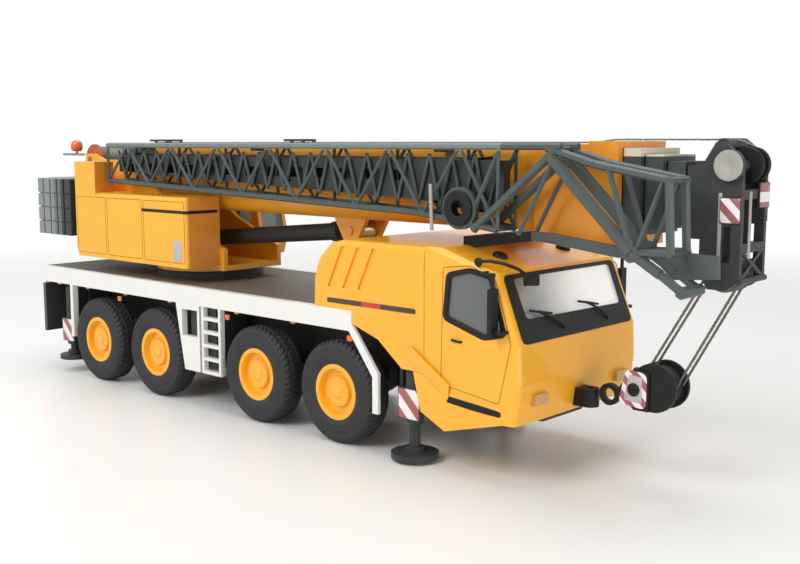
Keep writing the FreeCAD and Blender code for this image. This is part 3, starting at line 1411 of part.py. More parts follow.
# Crossed braces close the head's front between the foot bar and the low bar
for letter, side in SIDES.items():
    foot, tip = f"{side} * ({head_inner})", f"-{side} * ({head_inner})"
    head_pieces.append(prism(f"head_brace_{letter}", "YZ",
                             "head_front_x - head_brace / 2", "head_front_x", [
        (foot, "low_sheave_z - head_brace"),
        (foot, "low_sheave_z"),
        (tip, "head_low_bar_z + head_brace"),
        (tip, "head_low_bar_z"),
    ]))
node("boom_head", joined("boom_head", head_pieces))


def sheave(name, radius, middle_y, x, z, bore):
    """A grooved pulley turned about the Y axis."""
    half = f"({middle_y} - sheave_width / 2)"
    end = f"({middle_y} + sheave_width / 2)"
    return turned(name, [
        (bore, half),
        (radius, half),
        (f"{radius} - sheave_width / 3", middle_y),
        (radius, end),
        (bore, end),
    ], x, "0", z)


node("head_sheaves", group("head_sheaves", [
    sheave(f"top_sheave_{letter}", "top_sheave_radius", f"{side} * sheave_width", "top_sheave_x",
           "top_sheave_z", "sheave_bore") for letter, side in SIDES.items()]))

# Lift cylinder: the barrel on the table's lugs, the rod to the boom's lugs
lift_way = point("lift_eye_x", "0", "lift_eye_z") - point("lift_foot_x", "0", "lift_foot_z")
lift_turn = -math.degrees(math.atan2(lift_way.z, lift_way.x))
lift_place = FreeCAD.Placement(point("lift_foot_x", "0", "lift_foot_z"),
                               FreeCAD.Rotation(AXES["y"], lift_turn))
lift_length = lift_way.Length
radius = value("lift_barrel_radius")
rod_radius = value("lift_rod_radius")
eye_radius = value("lift_eye_radius")
eye_half = value("lift_lug_y") - 0.2
pin_bore = value("lift_pin_radius + lift_play")
barrel_length = value("lift_barrel_length")
collar_start = barrel_length - value("lift_barrel_collar_length")
barrel = Part.makeCylinder(radius, collar_start - eye_radius, Vector(eye_radius, 0, 0), AXES["x"])
barrel = barrel.fuse(Part.makeCylinder(radius + value("lift_barrel_collar"),
                                       value("lift_barrel_collar_length"),
                                       Vector(collar_start, 0, 0), AXES["x"]))
barrel = barrel.fuse(Part.makeCylinder(eye_radius, 2 * eye_half, Vector(0, -eye_half, 0), AXES["y"]))
barrel = barrel.cut(Part.makeCylinder(rod_radius + value("lift_play"), barrel_length,
                                      Vector(eye_radius + 1.5, 0, 0), AXES["x"]))
barrel = barrel.cut(Part.makeCylinder(pin_bore, 4 * eye_half, Vector(0, -2 * eye_half, 0), AXES["y"]))
lift_barrel = node("lift_barrel", solid_of("lift_barrel", barrel))
lift_barrel.Placement = lift_place
piston = Part.makeCylinder(rod_radius, lift_length - eye_radius - 2.5, Vector(eye_radius + 2.5, 0, 0),
                           AXES["x"])
piston = piston.fuse(Part.makeCylinder(eye_radius, 2 * eye_half, Vector(lift_length, -eye_half, 0),
                                       AXES["y"]))
piston = piston.cut(Part.makeCylinder(pin_bore, 4 * eye_half, Vector(lift_length, -2 * eye_half, 0),
                                      AXES["y"]))
lift_rod = node("lift_rod", solid_of("lift_rod", piston))
lift_rod.Placement = lift_place

# Jib: a lattice of four chords and zigzag braces, stowed on the boom's right side
BAR_SIDES = 6


def lattice_bar(start, end, radius):
    """A six-sided bar between two points of the lattice."""
    way = (end - start).normalize()
    lead = AXES["x"] if abs(way.z) > 0.95 else AXES["z"]
    across = lead.cross(way).normalize()
    up = way.cross(across)
    ring = []
    for i in range(BAR_SIDES):
        turn = 2 * math.pi * (i + 0.5) / BAR_SIDES
        ring.append(start + across * (radius * math.cos(turn)) + up * (radius * math.sin(turn)))
    return Part.Face(Part.makePolygon(ring + ring[:1])).extrude(end - start)


chord = value("jib_chord_radius")
brace = value("jib_brace_radius")
bays = int(value("jib_bays"))
rear_x, front_x = value("jib_rear_x"), value("jib_front_x")
knee_x, knee_z = value("jib_knee_x"), value("jib_knee_low_z")
inner_y, outer_y = value("jib_inner_y"), value("jib_outer_y")
middle_y = (inner_y + outer_y) / 2
jib_top = value("jib_top_z")


def jib_low(x):
    """Height of the lower chords, which bend down more steeply past their knee."""
    if x <= knee_x:
        share = (x - rear_x) / (knee_x - rear_x)
        return value("jib_rear_low_z") * (1 - share) + knee_z * share
    share = (x - knee_x) / (front_x - knee_x)
    return knee_z * (1 - share) + value("jib_front_low_z") * share


def jib_joint(station, across, up):
    """A joint of the lattice: station along it, inner or outer, low or high."""
    x = rear_x + (front_x - rear_x) * station / bays
    return Vector(x, outer_y if across else inner_y, jib_top if up else jib_low(x))


members = []
for y in (inner_y, outer_y):
    low = [Vector(x, y, jib_low(x)) for x in (rear_x, knee_x, front_x)]
    members += [lattice_bar(low[0], low[1], chord), lattice_bar(low[1], low[2], chord),
                lattice_bar(Vector(rear_x, y, jib_top), Vector(front_x, y, jib_top), chord)]
for station in range(bays + 1):
    corners = [jib_joint(station, a, u) for a, u in ((0, 0), (1, 0), (1, 1), (0, 1))]
    ends = station in (0, bays)
    for i in range(4):
        if ends or i % 2 == 0:
            members.append(lattice_bar(corners[i], corners[(i + 1) % 4], brace))
    if station % 2:
        x = corners[0].x
        members.append(lattice_bar(Vector(x, middle_y, jib_low(x)), Vector(x, middle_y, jib_top), brace))
for station in range(bays):
    odd = station % 2
    for a in (0, 1):
        members.append(lattice_bar(jib_joint(station, a, odd), jib_joint(station + 1, a, 1 - odd), brace))
    for u in (0, 1):
        members.append(lattice_bar(jib_joint(station, odd, u), jib_joint(station + 1, 1 - odd, u), brace))

# The jib's folded front: its bars run in two planes that cross bars tie together
FRONT_BARS = (
    # name, x and z of one end, x and z of the other, radius
    ("upper chord", 75, 77.4, 92, 77.4, 0.8),
    ("second chord", 88, 77.2, 100.4, 73.7, 0.9),
    ("second chord front", 100.4, 73.7, 118, 70.7, 0.9),
    ("main diagonal", 90.5, 76.6, 68, 58.2, 1.1),
    ("rear brace", 75.6, 77.4, 66.5, 59.6, 0.6),
    ("front brace", 90.6, 75.6, 80.9, 57.8, 0.6),
    ("wide diagonal", 89, 75.4, 109.6, 55.6, 1.5),
    ("inner diagonal", 103.7, 73.2, 109.6, 55.6, 0.7),
    ("post brace", 116.5, 70.6, 110.6, 55.6, 0.6),
    ("post", 117.8, 70.7, 118.6, 55.9, 1),
    ("foot bar", 109.6, 55.6, 118.6, 55.9, 0.9),
    ("arm", 109.6, 55.6, 116.5, 51.6, 1.2),
    ("arm end", 116.5, 51.6, 121.5, 48.3, 1),
)
CROSS_BARS = (
    # x and z of a bar across the two planes, radius
    (90.2, 76.8, 0.7),
    (100.4, 73.7, 0.7),
    (118, 70.7, 0.8),
    (118.6, 55.9, 0.8),
    (109.6, 55.6, 2.1),
    (121.5, 48.3, 1.3),
)
for name, start_x, start_z, end_x, end_z, radius in FRONT_BARS:
    for y in (inner_y, outer_y):
        members.append(lattice_bar(Vector(start_x, y, start_z), Vector(end_x, y, end_z), radius))
for x, z, radius in CROSS_BARS:
    members.append(lattice_bar(Vector(x, inner_y + chord, z), Vector(x, outer_y - chord, z), radius))
lattice = solid_of("jib_lattice", members[0].multiFuse(members[1:]))

# A smaller jib nests inside: a windowed girder along the middle of the lattice
girder_y = ("(jib_inner_y + jib_outer_y - inner_jib_depth) / 2",
            "(jib_inner_y + jib_outer_y + inner_jib_depth) / 2")
girder = prism("inner_jib_plate", "XZ", *girder_y, [
    ("jib_rear_x + jib_foot_length", "jib_rear_low_z + inner_jib_low_rise"),
    ("jib_knee_x", "jib_knee_low_z + inner_jib_low_rise"),
    ("jib_front_x", "jib_front_low_z + inner_jib_low_rise * 2"),
    ("jib_front_x", "jib_top_z - inner_jib_top_drop"),
    ("jib_rear_x + jib_foot_length", "jib_top_z - inner_jib_top_drop"),
])
windows = []
bay = "((jib_knee_x - jib_rear_x) / jib_bays)"
for number in range(1, bays):
    start = f"(jib_rear_x + {bay} * {number})"
    windows.append(box(f"inner_jib_window_{number}",
                       (start, f"{start} + inner_jib_window_length"), girder_y,
                       ("jib_rear_low_z + inner_jib_low_rise",
                        "jib_rear_low_z + inner_jib_low_rise + inner_jib_window_height")))
jib_pieces = [
    lattice,
    cut("inner_jib", girder, windows),
    turned("jib_ring", [
        ("jib_ring_bore", "-jib_ring_depth / 2"),
        ("jib_ring_radius", "-jib_ring_depth / 2"),
        ("jib_ring_radius", "jib_ring_depth / 2"),
        ("jib_ring_bore", "jib_ring_depth / 2"),
    ], "jib_ring_x", "jib_outer_y", "jib_ring_z"),
]
BEAMS = (
    # name, corners of a flat beam in the jib's inner plane
    ("roof_beam", ((80.2, 58), (85.5, 57.9), (103, 56), (109.6, 56.6), (109.6, 54.6), (103, 53.6),
                   (85.5, 55.6), (80.2, 56))),
    ("nose_beam", ((109.6, 56), (125.7, 55.5), (125.9, 50.8), (115.9, 49.9))),
)
beam_y = ("jib_inner_y - jib_beam_depth / 2", "jib_inner_y + jib_beam_depth / 2")
for name, corners in BEAMS:
    jib_pieces.append(prism(name, "XZ", *beam_y, [(str(x), str(z)) for x, z in corners]))
# Feet that carry the jib on the boom's side
for number, station in enumerate(("jib_rear_x + 8", "-20", "jib_knee_x"), start=1):
    jib_pieces.append(box(f"jib_foot_{number}", (station, f"{station} + jib_foot_length"),
                          ("jib_inner_y", "-boom_width / 2"),
                          ("jib_top_z - jib_foot_length / 2", "jib_top_z")))
# The folded front leaves the lattice just ahead of its last frame
split_x = "(jib_front_x + jib_split_ahead)"
whole_jib = joined("whole_jib", jib_pieces)
across_jib = ("jib_outer_y * 2", "0")
node("jib", cut("jib", whole_jib, [
    box("space_of_front", (split_x, "head_front_x * 2"), across_jib, ("0", "jib_top_z * 2"))]))
node("jib_front", cut("jib_front", whole_jib, [
    box("space_of_lattice", ("jib_rear_x * 2", split_x), across_jib, ("0", "jib_top_z * 2"))]))

# Rope falls swing from the head's lower pin; the hook block hangs in them
top_point = point("low_sheave_x", "0", "low_sheave_z")
hook_point = point("hook_x", "0", "hook_z")
inner_half = value("head_half_width - head_cheek - knuckle_play")
falls = Part.makeCylinder(value("sheave_radius"), 2 * inner_half,
                          top_point - Vector(0, inner_half, 0), AXES["y"])
down = (hook_point - top_point).normalize()
side_way = down.cross(AXES["y"])
for i in range(4):
    start = top_point + Vector(0, (i - 1.5) * value("fall_pitch"), 0)
    end = hook_point + Vector(0, (i - 1.5) * value("fall_pitch"), 0)
    falls = falls.fuse(bar(start, end - down * value("hook_sheave_radius + knuckle_play"),
                           value("fall_radius")))
falls = falls.cut(Part.makeCylinder(value("sheave_bore"), 4 * inner_half,
                                    top_point - Vector(0, 2 * inner_half, 0), AXES["y"]))
node("rope_falls", solid_of("rope_falls", falls))
hook_parts = [
    rod("hook_sheaves", "y", ("hook_x", "-hook_half_width", "hook_z"), "2 * hook_half_width",
        "hook_sheave_radius"),
    prism("hook_shank", "XZ", "-hook_shank_half", "hook_shank_half", [
        ("hook_ring_x + hook_ring_radius - hook_ring_bar", "hook_ring_z - hook_ring_bar"),
        ("hook_x - hook_sheave_radius / 2", "hook_z - hook_ring_bar * 3"),
        ("hook_x - hook_sheave_radius / 2", "hook_z"),
        ("hook_ring_x + hook_ring_radius - hook_ring_bar", "hook_ring_z + hook_ring_bar"),
    ]),
    turned("hook_ring", [
        ("hook_ring_radius - hook_ring_bar", "-hook_shank_half"),
        ("hook_ring_radius", "-hook_shank_half"),
        ("hook_ring_radius", "hook_shank_half"),
        ("hook_ring_radius - hook_ring_bar", "hook_shank_half"),
    ], "hook_ring_x", "0", "hook_ring_z"),
]
for letter, side in SIDES.items():
    inner = f"{side} * (hook_half_width - hook_cheek)"
    outer = f"{side} * hook_half_width"
    proud = f"{side} * (hook_half_width + hook_plate)"
    start = outer if side < 0 else inner
    hook_parts.append(rod(f"hook_cheek_{letter}", "y", ("hook_x", start, "hook_z"), "hook_cheek",
                          "hook_cheek_radius"))
    hook_parts.append(prism(f"hook_plate_{letter}", "XZ",
                            proud if side < 0 else inner, inner if side < 0 else proud, [
        ("hook_x - hook_plate_reach", "hook_z - hook_half_width / 2"),
        ("hook_x - hook_plate_reach / 2", "hook_z - hook_cheek_radius"),
        ("hook_x - hook_cheek", "hook_z - hook_cheek_radius"),
        ("hook_x - hook_cheek", "hook_z + hook_half_width"),
        ("hook_x - hook_plate_reach / 2", "hook_z + hook_cheek_radius * 3 / 4"),
    ]))
node("hook_block", joined("hook_block", hook_parts))

doc.recompute()
for piece in doc.Objects:
    if "Invalid" in piece.State or "Error" in piece.State:
        raise RuntimeError(piece.Name + " failed: " + str(piece.State))
labels = [piece.Label for piece in NODES]
if len(set(labels)) != len(labels):
    raise RuntimeError("two sub-parts share a name")
for piece in NODES:
    if piece.Shape.isNull() or not piece.Shape.isValid():
        raise RuntimeError(piece.Label + " has no valid shape")
for piece in NODES:
    piece.Shape.exportStep(f"parts/{piece.Label}.step")
print(len(NODES), "sub-parts written")
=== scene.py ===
import math

import bmesh
import bpy
import numpy as np
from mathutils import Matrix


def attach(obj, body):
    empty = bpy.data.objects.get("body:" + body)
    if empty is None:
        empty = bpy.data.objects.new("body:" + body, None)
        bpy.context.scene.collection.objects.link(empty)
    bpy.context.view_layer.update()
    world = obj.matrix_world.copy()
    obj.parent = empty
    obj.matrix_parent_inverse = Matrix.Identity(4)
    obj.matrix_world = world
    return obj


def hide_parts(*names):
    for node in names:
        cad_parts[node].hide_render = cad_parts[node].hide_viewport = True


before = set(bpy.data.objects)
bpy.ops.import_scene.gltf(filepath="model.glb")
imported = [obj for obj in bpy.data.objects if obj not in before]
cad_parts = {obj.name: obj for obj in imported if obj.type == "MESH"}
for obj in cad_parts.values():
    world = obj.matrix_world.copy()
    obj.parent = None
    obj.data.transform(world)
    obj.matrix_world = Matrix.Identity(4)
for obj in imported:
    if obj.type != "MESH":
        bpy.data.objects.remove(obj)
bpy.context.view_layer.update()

# Dress of a die-cast mobile crane model. Lengths below are millimetres in the frame of
# the construction: +X forward, +Y to the crane's left, +Z up, floor at Z = 0.
MM = 0.001
scene = bpy.context.scene

# Places of the construction that the dress lines up with
AXLES = {1: 26.3, 2: -5.7, 3: -53.7, 4: -85.7}
HALF_WIDTH = 25.5
TYRE_RADIUS = 13.7
TYRE_WIDTH = 7.5
TYRE_MIDDLE = HALF_WIDTH - TYRE_WIDTH / 2
HUB_FACE = TYRE_MIDDLE + 2.5
HOUSING_SIDE = -24.0
DRUM_AXIS = (-109, 0, 72.3)
SIDES = {"R": -1, "L": 1}

# Right and up on a flat piece, for one that faces the crane's right side or its front
FACING_RIGHT = ((1, 0, 0), (0, 0, 1))
FACING_FRONT = ((0, 1, 0), (0, 0, 1))


# Finishes

def linear(code):
    """An sRGB hex colour as linear light: the sRGB curve undone, channel by channel."""
    srgb = np.array([int(code[i:i + 2], 16) for i in (1, 3, 5)]) / 255
    light = np.where(srgb <= 0.04045, srgb / 12.92, ((srgb + 0.055) / 1.055) ** 2.4)
    return (*light.tolist(), 1.0)


def add(tree, kind, inputs=None, **settings):
    """Adds a node with its settings; an input takes a number, a colour or another node's socket."""
    made = tree.nodes.new("ShaderNode" + kind)
    for name, setting in settings.items():
        setattr(made, name, setting)
    for name, given in (inputs or {}).items():
        if isinstance(given, bpy.types.NodeSocket):
            tree.links.new(given, made.inputs[name])
        else:
            made.inputs[name].default_value = given
    return made


def blank_material(name):
    material = bpy.data.materials.new(name)
    material.use_nodes = True
    material.node_tree.nodes.clear()
    return material, material.node_tree


def per_metre(size_mm):
    """The texture scale that repeats a pattern once per this many millimetres."""
    return 1 / (size_mm * MM)


def finish(name, tone, patch_mm, grain_mm, gloss, relief_mm, colour=None, **shader):
    """A sprayed, cast or moulded finish.

    Two tones mix by a soft noise as wide as patch_mm; a fine noise as wide as grain_mm
    moves the roughness between the two gloss values and lifts the surface by relief_mm.
    """
    material, tree = blank_material(name)
    spot = add(tree, "TexCoord").outputs["Object"]
    patch = add(tree, "TexNoise", {"Vector": spot, "Scale": per_metre(patch_mm), "Detail": 3.0})
    grain = add(tree, "TexNoise", {"Vector": spot, "Scale": per_metre(grain_mm), "Detail": 4.0})
    mixed = add(tree, "Mix", {0: patch.outputs["Fac"], 6: linear(tone[0]), 7: linear(tone[1])},
                data_type="RGBA").outputs[2]
    if colour:
        shade = add(tree, "MapRange", {"Value": patch.outputs["Fac"], "From Min": 0.3,
                                       "From Max": 0.7, "To Min": 0.94, "To Max": 1.04})
        mixed = add(tree, "HueSaturation", {"Color": colour(tree, spot, mixed),
                                            "Value": shade.outputs["Result"]}).outputs["Color"]
    rough = add(tree, "MapRange", {"Value": grain.outputs["Fac"], "From Min": 0.3, "From Max": 0.7,
                                   "To Min": gloss[0], "To Max": gloss[1]})
    bump = add(tree, "Bump", {"Height": grain.outputs["Fac"], "Distance": relief_mm * MM,
                              "Strength": 0.6})
    skin = add(tree, "BsdfPrincipled", {"Base Color": mixed, "Roughness": rough.outputs["Result"],
                                        "Normal": bump.outputs["Normal"], **shader})
    out = add(tree, "OutputMaterial", {"Surface": skin.outputs["BSDF"]})
    out.target = "ALL"
    return material


def ripple_along(tree, spot, direction, pitch_mm):
    """A sine of the distance along a direction, one wave in each pitch."""
    run = add(tree, "VectorMath", {0: spot, 1: direction}, operation="DOT_PRODUCT")
    wave = add(tree, "Math", {0: run.outputs["Value"], 1: 2 * math.pi / (pitch_mm * MM)},
               operation="MULTIPLY")
    return add(tree, "Math", {0: wave.outputs[0]}, operation="SINE").outputs[0]


def banded(light, dark, pitch_mm, direction):
    """Colour bands square to a direction, by the sign of a ripple, slightly worn to the skin."""
    worn = 0.12

    def colour(tree, spot, under):
        ripple = ripple_along(tree, spot, direction, pitch_mm)
        side = add(tree, "Math", {0: ripple, 1: 0.0}, operation="GREATER_THAN")
        bands = add(tree, "Mix", {0: side.outputs[0], 6: linear(light), 7: linear(dark)},
                    data_type="RGBA").outputs[2]
        return add(tree, "Mix", {0: worn, 6: bands, 7: under}, data_type="RGBA").outputs[2]
    return colour


def split_by(axis, steps):
    """Colour by place along an axis: each step is (from this many mm on, hex colour)."""
    def colour(tree, spot, under):
        place = add(tree, "SeparateXYZ", {"Vector": spot}).outputs[axis]
        for start, code in steps:
            past = add(tree, "Math", {0: place, 1: start * MM}, operation="GREATER_THAN")
            under = add(tree, "Mix", {0: past.outputs[0], 6: under, 7: linear(code)},
                        data_type="RGBA").outputs[2]
        return under
    return colour


def where(code, **limits):
    """Colour inside a region: limits such as X=(low, high) in mm, joined by a product."""
    def colour(tree, spot, under):
        place = add(tree, "SeparateXYZ", {"Vector": spot})
        share = 1.0
        for axis, (low, high) in limits.items():
            for end, operation in ((low, "GREATER_THAN"), (high, "LESS_THAN")):
                past = add(tree, "Math", {0: place.outputs[axis], 1: end * MM}, operation=operation)
                share = add(tree, "Math", {0: share, 1: past.outputs[0]},
                            operation="MULTIPLY").outputs[0]
        return add(tree, "Mix", {0: share, 6: under, 7: linear(code)}, data_type="RGBA").outputs[2]
    return colour


def lozenges(code, pitch_mm, height):
    """Raised lozenges, where the product of two slanted ripples is above a height."""
    def colour(tree, spot, under):
        ripples = [ripple_along(tree, spot, direction, pitch_mm)
                   for direction in ((1.0, 0.6, 0.0), (1.0, -0.6, 0.0))]
        both_high = add(tree, "Math", {0: ripples[0], 1: ripples[1]}, operation="MULTIPLY")
        raised = add(tree, "Math", {0: both_high.outputs[0], 1: height}, operation="GREATER_THAN")
        return add(tree, "Mix", {0: raised.outputs[0], 6: under, 7: linear(code)},
                   data_type="RGBA").outputs[2]
    return colour


def in_turn(*colours):
    """Several colourings one over the other."""
    def colour(tree, spot, under):
        for each in colours:
            under = each(tree, spot, under)
        return under
    return colour


# Both tones of the crane's yellow, and the thin clear gloss that stove enamels share
YELLOW_TONES = ("#F9B42C", "#F4AB22")
THIN_GLOSS = {"Coat Weight": 0.2, "Coat Roughness": 0.15}
SLANTED = (0.7071, 0.0, 0.7071)

# Stove enamel sprayed on cast zinc: even warm yellow, a faint orange peel, a thin clear gloss.
YELLOW = finish("stoved_yellow_enamel", YELLOW_TONES, 14, 0.7, (0.26, 0.4), 0.005,
                **{"Coat Weight": 0.25, "Coat Roughness": 0.12})
# White enamel on the ladders: clean, slightly warm, half gloss.
WHITE = finish("stoved_white_enamel", ("#E9E8E5", "#DFDED9"), 12, 0.6, (0.3, 0.42), 0.01,
               **THIN_GLOSS)
# Grey-green satin enamel on the lattice: dull enough to show its bars, not its lights. The
# upper chord is lighter as a painted highlight; the nested girder and the inner plane are darker as
# painted shade.
LATTICE_GREY = finish("satin_grey_green_enamel_painted_light", ("#4B5451", "#3F4745"), 7, 0.4, (0.42, 0.56),
                      0.012, colour=in_turn(
                          where("#707A76", X=(-90, 76), Y=(-30, -18.8), Z=(76.3, 90)),
                          where("#222726", X=(-90, 76), Y=(-18.4, -15.6)),
                          where("#343B39", X=(-90, 76), Y=(-15.6, -12))))
# Charcoal satin enamel on the boom head, the cylinder and the leg beams.
CHARCOAL = finish("satin_charcoal_enamel", ("#3A3E3D", "#303433"), 8, 0.5, (0.42, 0.56), 0.012,
                  **{"Specular IOR Level": 0.3})
# Dark chassis enamel, thin and flat over the cast frame.
CHASSIS = finish("flat_chassis_enamel", ("#3A3B3A", "#2E2F2E"), 9, 0.6, (0.55, 0.7), 0.015)
# Cast ballast painted mid grey: a coarser skin from the mould.
BALLAST = finish("cast_ballast_grey", ("#8C9190", "#7E8387"), 9, 0.8, (0.5, 0.65), 0.03,
                 colour=split_by("X", [(-112.2, "#656A6A"), (-107.8, "#2C2E2E")]))
# Inner boom sections: a pale upper skin over charcoal sides; the charcoal is painted shade from the
# jib in front of them.
SECTION = finish("section_enamel_with_painted_shade", ("#3E4342", "#363B3A"), 8, 0.5, (0.4, 0.52), 0.01,
                 colour=split_by("Z", [(75.3, "#D9D2BC")]))
# Yellow enamel of the turntable; the beacon on its rear arm is orange, the arm grey.
TURNTABLE = finish("stoved_turntable_enamel", YELLOW_TONES, 14, 0.7, (0.3, 0.44), 0.012,
                   colour=in_turn(split_by("X", [(-200, "#868D8C"), (-112.4, "#F7B02A")]),
                                  split_by("Z", [(75.4, "#E8671C")])), **THIN_GLOSS)
# Pale grey plastic of the boom head's trim, moulded and smooth.
PALE_GREY = finish("moulded_pale_grey", ("#A6A49D", "#9A9891"), 8, 0.5, (0.42, 0.54), 0.008)
# Lilac-grey film of the small blank plate on the housing.
PLATE_GREY = finish("printed_lilac_grey", ("#BDB6BC", "#B0A9B0"), 6, 0.4, (0.4, 0.5), 0.004)
# Panel joints read as a deeper line of the same enamel.
JOINT = finish("shaded_panel_joint", ("#A8761F", "#986A1A"), 5, 0.4, (0.5, 0.6), 0.006)
# Orange-brown of the hoist drum at the turntable's rear.
DRUM_BROWN = finish("orange_brown_enamel", ("#B4622A", "#A25522"), 6, 0.4, (0.38, 0.5), 0.01)
# Boom enamel: yellow, deeper on the nose collar, dark on the rope guides, and darkened at the heel
# as painted shade behind the jib and the tower.
BOOM = finish("stoved_boom_enamel_with_painted_shade", ("#F6AC2A", "#F0A123"), 13, 0.7, (0.3, 0.44), 0.012,
              colour=in_turn(where("#EE9826", X=(75, 130)),
                             where("#2B2D2B", X=(-90, 0), Z=(77.9, 90)),
                             where("#3A3630", X=(-110, -73), Z=(62, 90))), **THIN_GLOSS)
# Housing enamel: the same yellow, with painted shade on the faces that look forwards: the housing's
# front and the tower's front.
HOUSING = finish("stoved_housing_enamel_with_painted_shade", YELLOW_TONES, 14, 0.7, (0.3, 0.44), 0.005,
                 colour=in_turn(where("#E0922A", X=(-38, -37.5)),
                                where("#D98A28", X=(-86.4, -86.0), Z=(62.1, 73))),
                 **THIN_GLOSS)
# White enamel of the side bands; their rear posts are dark.
BAND = finish("stoved_band_enamel", ("#EFEEEA", "#E5E3DD"), 12, 0.6, (0.34, 0.46), 0.01,
              colour=where("#333635", X=(-130, -117.4), Z=(0, 29.9)), **THIN_GLOSS)
# Black moulded plastic: mirrors, wipers, steps and seals, with a fine eroded grain.
BLACK = finish("moulded_black_plastic", ("#1B1C1B", "#141514"), 6, 0.3, (0.42, 0.56), 0.012,
               **{"Specular IOR Level": 0.25})
# Soft vinyl tyres, matt and slightly dusty grey on the walls.
RUBBER = finish("moulded_tyre_vinyl", ("#29292B", "#202022"), 5, 0.35, (0.62, 0.78), 0.02)
# Turned steel of the axles and pins: bright, with fine lathe marks as noise.
STEEL = finish("turned_steel", ("#A3A5A7", "#8F9193"), 5, 0.3, (0.28, 0.42), 0.006, Metallic=1.0)
# Polished piston rod: a mirror-like plated skin.
CHROME = finish("plated_piston_rod", ("#D5D7D9", "#C6C8CA"), 9, 0.4, (0.08, 0.16), 0.002,
                Metallic=1.0)
# Light grey moulded interior: what shows pale through the screens.
INTERIOR = finish("moulded_interior_grey", ("#B9BBB9", "#A5A7A5"), 7, 0.4, (0.5, 0.65), 0.015)
# Steel rope drawn coarse: its lay would be too fine to show, so the strands are geometry.
ROPE = finish("drawn_steel_rope", ("#77756F", "#5F5D58"), 3, 0.25, (0.38, 0.5), 0.01, Metallic=0.6)
# Fine hazard film on the head's signs and the hook block: 1.5 mm bands at 45 degrees.
HAZARD_FINE = finish("printed_fine_hazard_film", ("#F4F2F0", "#E8E6E2"), 5, 0.4, (0.3, 0.4), 0.004,
                     colour=banded("#E9E4E6", "#8E0628", 3.0, SLANTED))
# Hazard film on the leg plates: red and white bands of 2.3 mm at 45 degrees.
HAZARD = finish("printed_hazard_film", ("#F4F2F0", "#E8E6E2"), 5, 0.4, (0.3, 0.4), 0.004,
                colour=banded("#ECEAE8", "#9C0819", 4.6, SLANTED))
# Dark printed bar on the hood, with a red middle.
PRINT = finish("printed_band", ("#4A3A33", "#3D302B"), 5, 0.4, (0.35, 0.45), 0.003,
               colour=split_by("X", [(36.5, "#C0392B"), (43.0, "#43352F")]))
# Amber-orange plastic of the beacon and side markers.
BEACON = finish("moulded_beacon_lens", ("#E8671C", "#D95A14"), 2.5, 0.3, (0.18, 0.28), 0.004,
                **{"Coat Weight": 0.5})
# Lamp plastics by their place along the crane: red at the tail, amber at the sides, and a
# clear lens in front that lets the yellow behind it through.
LENSES = finish("moulded_lamp_lenses", ("#B3231F", "#A81F1C"), 4, 0.3, (0.12, 0.22), 0.004,
                colour=split_by("X", [(-118.0, "#F0851C"), (60.0, "#C99A55")]),
                **{"Coat Weight": 0.6})
# Deck walkway: grey-brown enamel over pressed lozenges, drawn at 1.6 mm so that they show.
DECK_FINISH = finish("walkway_enamel", ("#645F55", "#56514A"), 10, 0.6, (0.5, 0.65), 0.015,
                     colour=lozenges("#777166", 1.6, 0.45))


def glazing(name, tint_and_reflection, side_tint, clear, gloss, reflection_glow):
    """Moulded clear plastic: a see-through share, the rest a tinted gloss that mirrors the studio.

    The tint runs from the first to the second colour across the crane, right to left, and the
    second glows a little: the run to the second colour and the glow are a painted reflection of the
    lit studio.
    Panes that lie further out than 23 mm from the centre plane take the side tint.
    """
    material, tree = blank_material(name)
    spot = add(tree, "TexCoord").outputs["Object"]
    place = add(tree, "SeparateXYZ", {"Vector": spot}).outputs["Y"]
    share = add(tree, "MapRange", {"Value": place, "From Min": -17 * MM, "From Max": 9 * MM},
                interpolation_type="SMOOTHSTEP")
    across = add(tree, "Mix", {0: share.outputs["Result"], 6: linear(tint_and_reflection[0]),
                               7: linear(tint_and_reflection[1])}, data_type="RGBA").outputs[2]
    out = add(tree, "Math", {0: place}, operation="ABSOLUTE")
    side = add(tree, "Math", {0: out.outputs[0], 1: 23 * MM}, operation="GREATER_THAN")
    colour = add(tree, "Mix", {0: side.outputs[0], 6: across, 7: linear(side_tint)},
                 data_type="RGBA").outputs[2]
    middle = add(tree, "Math", {0: share.outputs["Result"], 1: side.outputs[0]},
                 operation="SUBTRACT")
    shine = add(tree, "MapRange", {"Value": middle.outputs[0], "To Min": 0.0, "To Max": reflection_glow})
    haze = add(tree, "TexNoise", {"Vector": spot, "Scale": per_metre(6), "Detail": 2.0})
    rough = add(tree, "MapRange", {"Value": haze.outputs["Fac"], "To Min": gloss,
                                   "To Max": 2 * gloss})
    skin = add(tree, "BsdfPrincipled", {"Base Color": colour, "Alpha": 1 - clear,
                                        "Roughness": rough.outputs["Result"], "IOR": 1.49,
                                        "Coat Weight": 1.0, "Emission Color": linear(tint_and_reflection[1]),
                                        "Emission Strength": shine.outputs["Result"]})
    add(tree, "OutputMaterial", {"Surface": skin.outputs["BSDF"]})
    return material


# Clear moulded glazing of the driver's cab: grey near the right pillar, and a painted
# reflection of the white studio that whitens it towards the left.
CLEAR = glazing("moulded_clear_glazing_painted_reflection", ("#9A9E9C", "#F4F5F4"), "#626866", 0.25, 0.03, 0.32)
# Darker glazing of the crane operator's cab.
SMOKED = glazing("moulded_smoked_glazing", ("#5E6664", "#69716F"), "#4A5250", 0.5, 0.03, 0.0)

